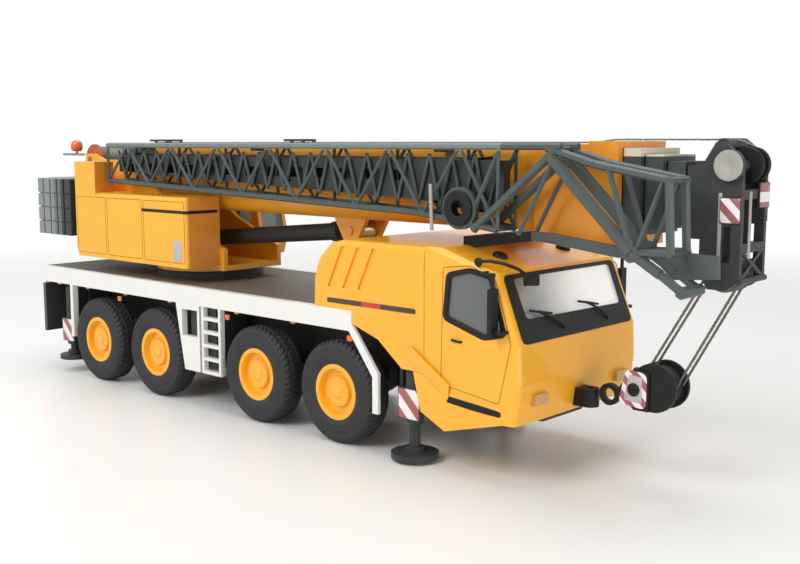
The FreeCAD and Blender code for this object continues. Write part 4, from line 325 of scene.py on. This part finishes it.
NODE_FINISH = {
    "carrier_cab": YELLOW, "engine_hood": YELLOW, "right_housing": HOUSING, "left_housing": HOUSING,
    "operator_cab": YELLOW, "boom_base": BOOM, "boom_section_1": SECTION,
    "boom_section_2": SECTION, "boom_section_3": SECTION, "boom_head": CHARCOAL,
    "head_sheaves": BLACK, "jib": LATTICE_GREY, "jib_front": LATTICE_GREY,
    "lift_barrel": CHARCOAL, "lift_rod": CHROME, "counterweight": BALLAST,
    "upper_frame": TURNTABLE, "slewing_ring": CHASSIS, "deck": DECK_FINISH,
    "side_bands": BAND, "ladders": WHITE, "tool_boxes": CHASSIS, "chassis_frame": CHASSIS,
    "outrigger_boxes": CHASSIS, "rear_beam": CHASSIS, "axle_beams": CHASSIS, "mirrors": BLACK,
    "roof_bar": BLACK, "lamps": LENSES, "front_coupling": BLACK, "cab_interior": INTERIOR,
    "cab_glazing": CLEAR, "operator_glass": SMOKED, "hoist_drum": DRUM_BROWN, "rope_falls": ROPE,
    "hook_block": BLACK, "wheelset_3": YELLOW, "wheelset_4": YELLOW,
}
# Nodes that come once per wheel or leg, by the first word of their names
FIRST_WORD_FINISH = {"rim": YELLOW, "knuckle": STEEL, "tyre": RUBBER, "tyres": RUBBER,
                     "outrigger": CHARCOAL, "jack": CHARCOAL}
for name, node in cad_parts.items():
    shared = FIRST_WORD_FINISH.get(name.split("_")[0], CHASSIS)
    node.data.materials.clear()
    node.data.materials.append(NODE_FINISH.get(name, shared))


# Surfaces

def unit(v):
    """A vector, or each vector of an array, divided by its length."""
    v = np.asarray(v, float)
    return v / np.linalg.norm(v, axis=-1, keepdims=True)


def grid(points, ring=False, round_about=True):
    """A grid of points as a surface: quads between neighbours.

    round_about closes each row on itself; ring closes the last row on the first.
    """
    rows, columns = points.shape[:2]
    r, c = np.meshgrid(np.arange(rows if ring else rows - 1),
                       np.arange(columns if round_about else columns - 1), indexing="ij")
    r, c = r.ravel(), c.ravel()
    r2, c2 = (r + 1) % rows, (c + 1) % columns
    quads = np.stack([r * columns + c, r * columns + c2, r2 * columns + c2, r2 * columns + c], 1)
    return points.reshape(-1, 3), quads


def frame_of(axis):
    """Two directions square to an axis, right-handed with it."""
    w = unit(axis)
    lead = np.array((0.0, 0.0, 1.0)) if abs(w[2]) < 0.9 else np.array((1.0, 0.0, 0.0))
    u = unit(np.cross(lead, w))
    return u, np.cross(w, u), w


def lathe(profile, centre, axis, turns=48, ring=False):
    """A profile of (radius, distance along) turned about an axis.

    Each point is the centre + radius * (cosine * u + sine * v) + distance * w.
    """
    profile = np.asarray(profile, float)
    u, v, w = frame_of(axis)
    angle = np.linspace(0, 2 * math.pi, turns, endpoint=False)
    spoke = np.cos(angle)[:, None] * u + np.sin(angle)[:, None] * v
    points = (np.asarray(centre, float) + profile[:, :1, None] * spoke[None]
              + profile[:, 1:, None] * w)
    return grid(points, ring)


def carried(path, outline, lead=(0, 0, 1), closed=False):
    """An outline carried along a path: path + a * side + b * top, ends drawn to a point."""
    path = np.asarray(path, float)
    way = np.roll(path, -1, 0) - np.roll(path, 1, 0) if closed else np.gradient(path, axis=0)
    way = unit(way)
    side = unit(np.cross(way, np.asarray(lead, float)))
    top = np.cross(side, way)
    points = (path[:, None] + outline[None, :, :1] * side[:, None]
              + outline[None, :, 1:] * top[:, None])
    if not closed:
        ends = [np.repeat(p[None, None], len(outline), 1) for p in (path[0], path[-1])]
        points = np.concatenate([ends[0], points, ends[1]])
    return grid(points, closed)


def disc(radius, sides=10):
    """A round outline."""
    angle = np.linspace(0, 2 * math.pi, sides, endpoint=False)
    return radius * np.stack([np.cos(angle), np.sin(angle)], 1)


def slat(width, height, radius=0.25, steps=4):
    """A rectangular outline with rounded corners, centred."""
    w, h = width / 2, height / 2
    return soft_corners([(-w, -h), (w, -h), (w, h), (-w, h)], radius, steps)


def soft_corners(corners, radius, steps=5):
    """An outline whose corners are eased: at each, a curve from radius before to radius after."""
    p = np.asarray(corners, float)
    before = unit(np.roll(p, 1, 0) - p) * radius + p
    after = unit(np.roll(p, -1, 0) - p) * radius + p
    t = np.linspace(0, 1, steps)[None, :, None]
    curve = (1 - t) ** 2 * before[:, None] + 2 * t * (1 - t) * p[:, None] + t ** 2 * after[:, None]
    return curve.reshape(-1, p.shape[1])


def inset(outline, amount):
    """An outline moved inwards by an amount, along the mean normal at each point."""
    way = unit(np.roll(outline, -1, 0) - np.roll(outline, 1, 0))
    return outline + amount * np.stack([-way[:, 1], way[:, 0]], 1)


def on_plane(outline, height, origin, right, up):
    """A flat outline placed in space: origin + a * right + b * up + height * normal."""
    right, up = unit(right), unit(up)
    normal = np.cross(right, up)
    return (np.asarray(origin, float) + outline[:, :1] * right + outline[:, 1:] * up
            + height * normal)


def plate(outline, origin, right, up, thickness, bevel=0.12):
    """A flat outline raised by a thickness, its front edge eased; both faces fan to the middle."""
    middle = np.repeat(outline.mean(0, keepdims=True), len(outline), 0)
    rows = [(middle, 0), (outline, 0), (outline, thickness - bevel),
            (inset(outline, bevel * 0.3), thickness - bevel * 0.3),
            (inset(outline, bevel), thickness), (middle, thickness)]
    return grid(np.stack([on_plane(o, h, origin, right, up) for o, h in rows]))


def rim_band(outer, inner, origin, right, up, thickness):
    """The band between two outlines of as many points, raised by a thickness."""
    rows = [(outer, 0), (outer, thickness * 0.7), (inset(outer, thickness * 0.3), thickness),
            (inner, thickness), (inner, 0)]
    return grid(np.stack([on_plane(o, h, origin, right, up) for o, h in rows]), ring=True)


def repeated(part, places):
    """Copies of a small part at many places, as one surface."""
    points, quads = part
    places = np.asarray(places, float)
    all_points = (points[None] + places[:, None]).reshape(-1, 3)
    all_quads = (quads[None] + len(points) * np.arange(len(places))[:, None, None]).reshape(-1, 4)
    return all_points, all_quads


def reflected(part):
    """A part on the other side of the centre plane."""
    points, quads = part
    return points * np.array((1, -1, 1)), quads[:, ::-1]


def both(*parts):
    """Parts and their reflections."""
    return [*parts, *[reflected(p) for p in parts]]


def placed(name, parts, material):
    """One object from its parts, in metres: seams and poles merged, faces turned outwards."""
    points = np.concatenate([p for p, _ in parts]) * MM
    starts = np.cumsum([0] + [len(p) for p, _ in parts[:-1]])
    quads = np.concatenate([q + s for (_, q), s in zip(parts, starts)])
    mesh = bpy.data.meshes.new(name)
    mesh.from_pydata(points.tolist(), [], quads.tolist())
    shell = bmesh.new()
    shell.from_mesh(mesh)
    bmesh.ops.remove_doubles(shell, verts=shell.verts, dist=2e-7)
    bmesh.ops.dissolve_degenerate(shell, edges=shell.edges, dist=1e-7)
    bmesh.ops.recalc_face_normals(shell, faces=shell.faces)
    shell.to_mesh(mesh)
    shell.free()
    mesh.materials.append(material)
    made = bpy.data.objects.new(name, mesh)
    scene.collection.objects.link(made)
    return made


def piece(name, parts, material, body, replaces=(), smooth=35):
    """One finished piece on a body, shaded smooth except at edges sharper than an angle."""
    made = placed(name, parts, material)
    made.data.shade_smooth()
    made.data.set_sharp_from_angle(angle=math.radians(smooth))
    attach(made, body)
    if replaces:
        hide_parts(*replaces)
    return made


# Tyres: a moulded carcass with ribbed walls and a block tread

TREAD_BLOCKS = 48
CROWN_RADIUS = 13.66
CROWN_SHARE = 0.7
SHOULDER_GROOVE, RIB_GROOVE, MIDDLE_GROOVE = 0.34, 0.3, 0.2


def tyre_skin(x, side):
    """Radius and place across the tyre by a walk over its section; the tread is cut into it.

    The walk goes from bead to bead over wall, shoulder and crown and back along the bore.
    Blocks: where a slanted saw of the turn angle, or a zigzag of it, meets the crown,
    the radius drops by the groove depth. The section's places are shares of the half width.
    """
    half = TYRE_WIDTH / 2
    section = np.array([
        (7.45, -0.86), (8.2, -0.95), (9.0, -1.0), (9.25, -0.975), (9.5, -1.0), (10.8, -1.0),
        (11.1, -0.975), (11.4, -1.0), (12.3, -0.965), (12.7, -0.925), (13.05, -0.85),
        (13.3, -0.78)])
    crown_y = np.linspace(-CROWN_SHARE, CROWN_SHARE, 27)
    crown = np.stack([CROWN_RADIUS - 0.14 * np.abs(crown_y / CROWN_SHARE) ** 3, crown_y], 1)
    walk = np.concatenate([section, crown, section[::-1] * (1, -1)])
    radius, across = walk[:, 0][:, None], walk[:, 1][:, None] * half
    turn = np.linspace(0, 2 * math.pi, 336, endpoint=False)[None]
    block = turn * TREAD_BLOCKS / (2 * math.pi)
    offset = np.abs(across) / half
    saw = (block + 0.9 * np.abs(across) / half) % 1
    zigzag = 0.16 * np.abs((block % 1) * 2 - 1)
    shoulder_cut = (saw < 0.3) & (offset > 0.46) & (radius > 12.7)
    rib_cut = (np.abs(offset - 0.30 - zigzag) < 0.055) & (radius > 13)
    middle_cut = (saw < 0.22) & (offset < 0.16) & (radius > 13)
    depth = (SHOULDER_GROOVE * shoulder_cut + RIB_GROOVE * (rib_cut & ~shoulder_cut)
             + MIDDLE_GROOVE * middle_cut)
    r = radius - depth
    points = np.stack([x + r * np.cos(turn), side * TYRE_MIDDLE + across + 0 * r,
                       TYRE_RADIUS + r * np.sin(turn)], 2)
    return grid(points, ring=True)


def wheel_nuts(x, side):
    """Ten small domed nuts round a low hub cap on the rim's raised centre."""
    nut_circle = 3.3
    hub = (x, side * HUB_FACE, TYRE_RADIUS)
    turn = np.linspace(0, 2 * math.pi, 10, endpoint=False)
    ring = np.stack([nut_circle * np.cos(turn), 0 * turn, nut_circle * np.sin(turn)], 1)
    nut = lathe([(0, -0.2), (0.24, -0.2), (0.24, 0.08), (0.16, 0.16), (0, 0.18)], hub,
                (0, side, 0), 10)
    cap = lathe([(0, -0.2), (1.9, -0.2), (1.85, 0.12), (1.6, 0.3), (0.9, 0.34), (0, 0.36)], hub,
                (0, side, 0), 28)
    return [repeated(nut, ring), cap]


for axle in (1, 2):
    for letter, side in SIDES.items():
        mark = f"{axle}{letter}"
        piece(f"block_tread_{mark}", [tyre_skin(AXLES[axle], side)], RUBBER, f"wheel_{mark}",
              [f"tyre_{mark}"], smooth=28)
        piece(f"wheel_nuts_{mark}", wheel_nuts(AXLES[axle], side), YELLOW, f"wheel_{mark}")
for axle in (3, 4):
    piece(f"block_treads_{axle}", [tyre_skin(AXLES[axle], side) for side in (-1, 1)], RUBBER,
          f"wheels_{axle}", [f"tyres_{axle}"], smooth=28)
    piece(f"wheel_nuts_{axle}", wheel_nuts(AXLES[axle], -1) + wheel_nuts(AXLES[axle], 1), YELLOW,
          f"wheels_{axle}")

# Leg plates with their hazard film, one on each outrigger's jack sleeve
LEG_X = {"rear_R": -105.9, "rear_L": -113.3, "front_R": 51.3, "front_L": 45.9}
LEG_PLATE_FACE = 24.21
for mark, x in LEG_X.items():
    side = SIDES[mark[-1]]
    film = plate(slat(6.6, 7.4, 0.5), (x, side * LEG_PLATE_FACE, 14.5), (-side, 0, 0), (0, 0, 1),
                 0.14, 0.05)
    piece(f"hazard_film_{mark}", [film], HAZARD, f"leg_{mark}")

# Driver's cab: screen frame, window frames, door seams, handles, wipers, step and lamps
SCREEN_UP = unit((-6.7, 0, 16.2))
SCREEN_LOW = np.array((84.43, 0, 34.4))
screen_outer = soft_corners([(-23.3, -1.2), (23.3, -1.2), (23.1, 15.2), (-23.1, 15.2)], 1.6, 6)
screen_inner = soft_corners([(-19.6, 4.4), (20.6, 3.9), (20.9, 14.2), (-20.0, 14.2)], 1.3, 6)
seal = rim_band(screen_outer, screen_inner, SCREEN_LOW, (0, 1, 0), SCREEN_UP, 0.3)
piece("windscreen_seal", [seal], BLACK, "carrier")
WINDOW = [(75.4, 34.3), (81.1, 35.6), (77.0, 48.2), (71.3, 49.2), (64.9, 47.7), (63.9, 37.7)]
window = soft_corners(WINDOW, 0.9, 5)
for letter, side in SIDES.items():
    line = window if side < 0 else window[::-1] * (-1, 1)
    band = rim_band(inset(line, -0.75), inset(line, 0.5), (0, side * HALF_WIDTH, 0),
                    (-side, 0, 0), (0, 0, 1), 0.22)
    piece(f"window_seal_{letter}", [band], BLACK, "carrier")


def seam(points, width=0.22, depth=0.12, side=-1, radius=0.8):
    """A closed seam line round a panel: a thin dark bead carried along its eased outline."""
    loop = soft_corners(points, radius, 5)
    loop = np.insert(loop, 1, side * HALF_WIDTH, axis=1)
    return carried(loop, slat(width, depth, 0.03, 2), lead=(0, 1, 0), closed=True)


DOOR = [(62.6, 21.6), (79.8, 19.4), (83.0, 33.6), (78.6, 47.6), (71.4, 50.4), (63.2, 49.4)]
piece("door_seams", [seam(DOOR, side=-1), seam(DOOR, side=1)], JOINT, "carrier")
handle = carried([(66, -25.5, 32.6), (66.3, -26.0, 32.6), (68.6, -26.0, 32.4), (68.9, -25.5, 32.4)],
                 slat(0.5, 0.5, 0.15, 3))
piece("door_handles", both(handle), BLACK, "carrier")


def on_screen(y, up, proud):
    """A place on the windscreen: across, up along its slope, and proud of it."""
    normal = np.array((SCREEN_UP[2], 0, -SCREEN_UP[0]))
    return SCREEN_LOW + np.array((0, y, 0)) + up * SCREEN_UP + proud * normal


wipers = []
for root, tip in ((-6.5, -14.5), (12.5, 5.5)):
    wipers.append(carried([on_screen(root, 0.6, 0.35), on_screen(root - 0.6, 1.4, 0.8),
                           on_screen((root + tip) / 2, 3.6, 0.9), on_screen(tip, 5.4, 0.75)],
                          disc(0.3, 8)))
    wipers.append(carried([on_screen(tip - 3.4, 6.2, 0.55), on_screen(tip, 5.5, 0.6),
                           on_screen(tip + 4.6, 4.6, 0.55)], slat(0.36, 0.6, 0.1, 3)))
piece("wipers", wipers, BLACK, "carrier")

step = carried([(64.6, -25.1, 18.2), (72, -25.3, 17.6), (80.4, -25.0, 17.0)],
               slat(1.0, 1.7, 0.3, 4))
piece("door_steps", both(step), BLACK, "carrier")
marker = lathe([(0, 0), (1.0, 0), (1.0, 0.5), (0.6, 0.8), (0, 0.85)], (73.3, -24.9, 51.4),
               (0, -1, 0), 20)
piece("roof_markers", both(marker), BLACK, "carrier")

arch = carried([(72.6, -24.4, 50.6), (73.4, -25.2, 51.5), (77.0, -25.5, 51.9), (80.6, -24.9, 51.5),
                (83.2, -23.2, 50.3), (84.0, -21.6, 49.0)], disc(0.4, 10))
screen_mirror = carried([(84.5, -22.6, 48.0), (84.6, -22.2, 48.0), (84.9, -18.9, 47.7),
                         (84.9, -18.5, 47.7)], slat(1.3, 2.7, 0.5, 4))
piece("screen_mirror", [arch, screen_mirror], BLACK, "carrier")
ROOF_NORMAL = (0.277, 0, 0.961)
domes = []
for y in (-13.2, 13.2):
    domes.append(lathe([(0, -0.1), (1.9, -0.1), (1.9, 0.35), (1.6, 0.8), (0.8, 1.1), (0, 1.15)],
                       (70.4, y, 51.45), ROOF_NORMAL, 28))
piece("roof_domes", domes, BLACK, "carrier")

# Boom head: hazard film on the signs at its sides and front, pale strips, the right cheek's disc
signs = both(plate(slat(4.3, 5.1, 0.3), (124.4, -6.6, 64.3), *FACING_RIGHT, 0.12, 0.04))
signs.append(plate(slat(4.5, 5.1, 0.3), (127.1, 3.8, 67.3), *FACING_FRONT, 0.12, 0.04))
piece("head_hazard_film", signs, HAZARD_FINE, "section_3")
pale = both(plate(slat(0.8, 16.6, 0.2), (122.0, -6.2, 59.6), *FACING_RIGHT, 0.1, 0.03))
pale.append(plate(slat(1.2, 14.0, 0.2), (126.7, -2.1, 61.2), *FACING_FRONT, 0.1, 0.03))
pale.append(lathe([(0, -0.05), (3.1, -0.05), (3.2, 0.02), (3.1, 0.14), (1.2, 0.16), (1.0, 0.05),
                   (0, 0.04)], (124.0, -7.4, 73.6), (0, -1, 0), 40))
piece("head_pale_trim", pale, PALE_GREY, "section_3")

# Hook block: bordered film on both plates, a black pin through them
HOOK_PLATE = [(97.8, 19.0), (104.9, 18.3), (105.0, 26.6), (99.6, 27.2)]
HOOK_PLATE_FACE = (0, -3.9, 0)
outer = soft_corners(HOOK_PLATE, 1.6, 6)
inner = inset(outer, 1.1)
borders = both(rim_band(outer, inner, HOOK_PLATE_FACE, *FACING_RIGHT, 0.12))
piece("hook_hazard_border", borders, HAZARD_FINE, "hook")
fields = both(plate(inner, HOOK_PLATE_FACE, *FACING_RIGHT, 0.08, 0.03))
piece("hook_plate_fields", fields, PLATE_GREY, "hook")
pin = lathe([(0, -0.1), (1.55, -0.1), (1.55, 0.3), (1.2, 0.5), (0, 0.55)], (101.7, -3.9, 22.6),
            (0, -1, 0), 28)
piece("hook_pins", both(pin), BLACK, "hook")

# Jib: lacing over the nested girder, a dark sheet of painted shade behind its windows, the dark
# ring, a post

def girder_edges(x):
    """Heights of the nested girder's lower and upper edge at a place along it.

    The lower edge runs above the jib's lower chord, straight from knee to knee.
    """
    chord = np.interp(x, [-83.7, 50, 75], [66.0, 61.4, 58.5])
    return chord + 2.2, np.full_like(chord, 75.6)


GIRDER_FACE = -18.7
GIRDER_BACK = (0, -15.7, 0)
stations = np.linspace(-80, 74, 45)
low_edge, high_edge = girder_edges(stations)
lacing = []
for i in range(len(stations) - 1):
    ends = (low_edge[i], high_edge[i + 1]) if i % 2 else (high_edge[i], low_edge[i + 1])
    lacing.append(carried([(stations[i], GIRDER_FACE, ends[0]),
                           (stations[i + 1], GIRDER_FACE, ends[1])],
                          disc(0.42, 6), lead=(0, 1, 0)))
piece("girder_lacing", lacing, LATTICE_GREY, "boom")
# A dark sheet behind the girder's windows: painted shade where the boom lies in the jib's shade.
knees = np.array([-76.0, 50.0, 72.0])
back_low, back_high = girder_edges(knees)
shade_sheet = np.concatenate([np.stack([knees, back_low], 1),
                          np.stack([knees, back_high], 1)[[2, 0]]])
shade_sheet = inset(soft_corners(shade_sheet, 0.4, 3), 0.8)
piece("girder_shade_sheet", [plate(shade_sheet, GIRDER_BACK, *FACING_RIGHT, 0.2, 0.05)], CHARCOAL,
      "boom")
cover = lathe([(1.9, -2.4), (4.1, -2.4), (4.2, -0.1), (4.0, 0.14), (2.1, 0.14), (1.9, 0)],
              (64.1, -21.7, 63.0), (0, -1, 0), 56, ring=True)
piece("jib_ring_cover", [cover], BLACK, "boom")
post = carried([(56.2, -21.5, 57.4), (55.7, -21.5, 68.5)], slat(0.9, 0.5, 0.15, 3), lead=(0, 1, 0))
piece("jib_pale_post", [post], PALE_GREY, "boom")

# Beacon lens over the ball on the rear arm
lens = lathe([(0, -1.9), (1.5, -1.9), (2.0, -1.2), (2.1, 0), (1.9, 1.0), (1.3, 1.75), (0.5, 2.0),
              (0, 2.05)], (-117.9, -11.1, 77.1), (0, 0, 1), 32)
piece("beacon_lens", [lens], BEACON, "turntable")

# Side markers under the bands
markers = []
for x in (-72.1, -17.5, 32.0):
    markers.append(plate(slat(1.9, 1.5, 0.35), (x, -25.2, 28.7), *FACING_RIGHT, 0.3, 0.1))
piece("side_markers", both(*markers), BEACON, "carrier")

# Hood: a plain printed band on each side
for letter, side in SIDES.items():
    band = plate(slat(30.5, 1.3, 0.3), (39.3, side * (HALF_WIDTH - 0.01), 38.0), (-side, 0, 0),
                 (0, 0, 1), 0.08, 0.03)
    piece(f"hood_print_{letter}", [band], PRINT, "carrier")

# Cab: the fold of its skirt, a narrow face that leans outwards to its upper edge
fold = np.array([(0, -2), (17, -2), (15.6, 1.8), (1.4, 1.8)])
tilted = plate(soft_corners(fold, 0.4), (51.6, -25.75, 28.7), (0.845, 0, -0.534),
               (0.52, -0.23, 0.823), 0.3, 0.1)
piece("cab_skirt_fold", both(tilted), YELLOW, "carrier")

# Right housing: door seams, a dark rail round its front corner, a grey inspection plate
DOOR_FOOT, DOOR_HEAD = 42.2, 60.6
seams = []
for rear, front in ((-97.5, -80.7), (-79.7, -60.5), (-59.5, -38.7)):
    loop = soft_corners([(rear, DOOR_FOOT), (front, DOOR_FOOT), (front, DOOR_HEAD),
                         (rear, DOOR_HEAD)], 0.7, 4)
    loop = np.insert(loop, 1, HOUSING_SIDE, axis=1)
    seams.append(carried(loop, slat(0.2, 0.12, 0.03, 2), lead=(0, 1, 0), closed=True))
piece("housing_seams", seams, JOINT, "turntable")
rail = carried([(-60, -24.05, 57.6), (-38.2, -24.05, 57.6), (-37.66, -23.6, 57.6),
                (-37.66, -12.4, 57.6)], slat(0.34, 0.9, 0.1, 3))
piece("housing_rail", [rail], BLACK, "turntable")
grey_plate = plate(slat(4.2, 6.2, 1.2), (-42.2, HOUSING_SIDE, 45.8), *FACING_RIGHT, 0.14, 0.05)
piece("inspection_plate", [grey_plate], PLATE_GREY, "turntable")


# Hoist rope: wound on the drum, led over the boom, and reeved to the hook

LAY = 1.6
ROPE_SIDES = 12
LEAD_RADIUS, FALL_RADIUS = 0.2, 0.3


def twisted(path, radius, samples=None):
    """A rope of three strands: a ring whose radius ripples three times round and turns along it.

    The ripple is a cosine of three times (the angle - a full turn per three lays).
    """
    path = np.asarray(path, float)
    run = np.concatenate([[0], np.cumsum(np.linalg.norm(np.diff(path, axis=0), axis=1))])
    count = samples or max(4, int(run[-1] / 0.35))
    s = np.linspace(0, run[-1], count)
    line = np.stack([np.interp(s, run, path[:, i]) for i in range(3)], 1)
    way = unit(np.gradient(line, axis=0))
    side = unit(np.cross(way, np.array((0.0, 1.0, 0.02))))
    top = np.cross(side, way)
    turn = np.linspace(0, 2 * math.pi, ROPE_SIDES, endpoint=False)
    ripple = radius * (1 + 0.13 * np.cos(3 * (turn[None] - 2 * math.pi * s[:, None] / LAY / 3)))
    points = (line[:, None] + (ripple * np.cos(turn))[..., None] * side[:, None]
              + (ripple * np.sin(turn))[..., None] * top[:, None])
    ends = [np.repeat(p[None, None], ROPE_SIDES, 1) for p in (line[0], line[-1])]
    return grid(np.concatenate([ends[0], points, ends[1]]))


# The drum's rope lies in turns side by side: the radius follows a rectified cosine along the drum
TURNS = 22
COIL_OUTER, COIL_INNER, COIL_HALF_LENGTH, COIL_RIPPLE = 4.55, 3.9, 8.85, 0.28
s = np.linspace(0, TURNS, TURNS * 10 + 1)
wound = COIL_OUTER - COIL_RIPPLE * np.abs(np.cos(math.pi * s))
wound = np.concatenate([[COIL_INNER], wound, [COIL_INNER]])
along_y = np.concatenate([[0], 2 * s / TURNS, [2]]) * COIL_HALF_LENGTH - COIL_HALF_LENGTH
piece("wound_rope", [lathe(np.stack([wound, along_y], 1), DRUM_AXIS, (0, 1, 0), 56)], ROPE,
      "drum", smooth=70)

# The lead is open between drum and boom, and between the sections, so that no pose cuts it
drum_end = twisted([(-107.5, 0, 76.9), (-104.2, 0, 76.6)], LEAD_RADIUS)
piece("lead_rope_drum", [drum_end], ROPE, "turntable", smooth=70)
lead = [(-97.5, 0, 75.4), (-90.6, 0, 75.9), (-86, 0, 78.2), (88, 0, 78.3), (93, 0, 78.95),
        (99.9, 0, 78.95)]
piece("lead_rope_base", [twisted(lead, LEAD_RADIUS)], ROPE, "boom", smooth=70)
for number in (1, 2):
    height = 78.95 - 0.01 * number
    run = [(100.2, 0, height), (104 + 4.6 * number, 0, height)]
    piece(f"lead_rope_{number}", [twisted(run, LEAD_RADIUS)], ROPE, f"section_{number}",
          smooth=70)
over_head = [(113.4, 0, 78.93), (116, 0, 78.9), (121.6, 0, 79.0), (124.2, 0, 78.3),
             (126.4, 0, 77.4)]
piece("lead_rope_3", [twisted(over_head, LEAD_RADIUS)], ROPE, "section_3", smooth=70)

# Falls: four ropes from the lower head sheaves to the hook block
LOW_SHEAVE = np.array((121.8, 0, 50.6))
HOOK = np.array((106.3, 0, 23.5))
SHEAVE_GROOVE, HOOK_GROOVE = 3.2, 3.6
SHEAVE = [(1.26, -0.55), (4.0, -0.55), (4.0, -0.4), (SHEAVE_GROOVE, -0.1), (SHEAVE_GROOVE, 0.1),
          (4.0, 0.4), (4.0, 0.55), (1.26, 0.55)]
square = np.cross(unit(HOOK - LOW_SHEAVE), (0, 1, 0))
ropes, sheaves = [], []
for y, side in ((-2.25, -1), (-0.75, 1), (0.75, -1), (2.25, 1)):
    start = LOW_SHEAVE + (0, y, 0) + SHEAVE_GROOVE * side * square
    end = HOOK + (0, y, 0) + HOOK_GROOVE * side * square
    ropes.append(twisted([start, end], FALL_RADIUS, samples=46))
    sheaves.append(lathe(SHEAVE, LOW_SHEAVE + (0, y, 0), (0, 1, 0), 40, ring=True))
piece("reeved_falls", ropes + sheaves, ROPE, "falls", ["rope_falls"], smooth=40)


# Studio: pale floor that keeps the shadow, white beyond it, soft lamps

def studio_rays(tree):
    """A share that is 1 for camera, glossy and transmission rays, which see plain white."""
    path = add(tree, "LightPath")
    seen = add(tree, "Math", {0: path.outputs["Is Camera Ray"], 1: path.outputs["Is Glossy Ray"]},
               operation="MAXIMUM")
    return add(tree, "Math", {0: seen.outputs[0], 1: path.outputs["Is Transmission Ray"]},
               operation="MAXIMUM").outputs[0]


def studio_floor():
    """A round pale floor; its far part melts into the white background by distance."""
    near, far = 0.26, 0.6
    material, tree = blank_material("studio_floor_paper")
    spot = add(tree, "TexCoord").outputs["Object"]
    away = add(tree, "VectorMath", {0: spot}, operation="LENGTH")
    fade = add(tree, "MapRange", {"Value": away.outputs["Value"], "From Min": near,
                                  "From Max": far}, interpolation_type="SMOOTHSTEP")
    grain = add(tree, "TexNoise", {"Vector": spot, "Scale": per_metre(40), "Detail": 2.0})
    paper = add(tree, "Mix", {0: grain.outputs["Fac"], 6: linear("#EDEDEB"), 7: linear("#E9E9E7")},
                data_type="RGBA").outputs[2]
    matt = add(tree, "BsdfPrincipled", {"Base Color": paper, "Roughness": 0.35,
                                        "Specular IOR Level": 0.25})
    white = add(tree, "Emission", {"Color": (1, 1, 1, 1), "Strength": 1.0})
    share = add(tree, "Math", {0: fade.outputs["Result"], 1: studio_rays(tree)},
                operation="MULTIPLY")
    mixed = add(tree, "MixShader", {0: share.outputs[0], 1: matt.outputs["BSDF"],
                                    2: white.outputs["Emission"]})
    add(tree, "OutputMaterial", {"Surface": mixed.outputs["Shader"]})
    rings = np.array([0, 200, 500, 1000, 3000])[:, None]
    angle = np.linspace(0, 2 * math.pi, 96, endpoint=False)[None]
    under_floats = 0 * rings * angle - 0.02
    points = np.stack([rings * np.cos(angle), rings * np.sin(angle), under_floats], 2)
    floor = placed("studio_floor", [grid(points)], material)
    if floor.data.polygons[0].normal.z < 0:
        floor.data.flip_normals()


def studio_world():
    """White where it is seen, a weaker white where it lights."""
    scene.world = bpy.data.worlds.new("studio")
    scene.world.use_nodes = True
    tree = scene.world.node_tree
    tree.nodes.clear()
    strength = add(tree, "MapRange", {"Value": studio_rays(tree), "To Min": 0.38, "To Max": 1.0})
    sky = add(tree, "Background", {"Color": (1, 1, 1, 1), "Strength": strength.outputs["Result"]})
    add(tree, "OutputWorld", {"Surface": sky.outputs["Background"]})


studio_floor()
studio_world()

LAMP_TARGET = np.array((0, 0, 35.0))
LAMPS = (
    # name, place (mm), size (mm), power (W)
    ("key_panel", (-60, -560, 520), 420, 3.3),
    ("top_panel", (-120, 60, 760), 600, 3.0),
    ("front_panel", (330, -90, 40), 160, 0.3),
)
for name, at, size, power in LAMPS:
    light = bpy.data.lights.new(name, "AREA")
    light.shape = "SQUARE"
    light.size = size * MM
    light.energy = power
    lamp = bpy.data.objects.new(name, light)
    at = np.array(at, float)
    aim = unit(LAMP_TARGET - at)
    lamp.location = at * MM
    lamp.rotation_euler = (math.acos(-aim[2]), 0, math.atan2(aim[0], -aim[1]) + math.pi)
    scene.collection.objects.link(lamp)

# Camera: the fitted viewpoint of the photo, framed on the crane
camera = bpy.data.cameras.new("camera")
camera.sensor_width = 36
camera.lens = 48.2
camera.clip_start = 0.01
camera.clip_end = 20
eye = bpy.data.objects.new("camera", camera)
eye.location = (0.22297, -0.21564, 0.07830)
eye.rotation_euler = (math.radians(90 - 7.425), 0, math.radians(42.367))
scene.collection.objects.link(eye)
scene.camera = eye

scene.view_settings.view_transform = "Standard"
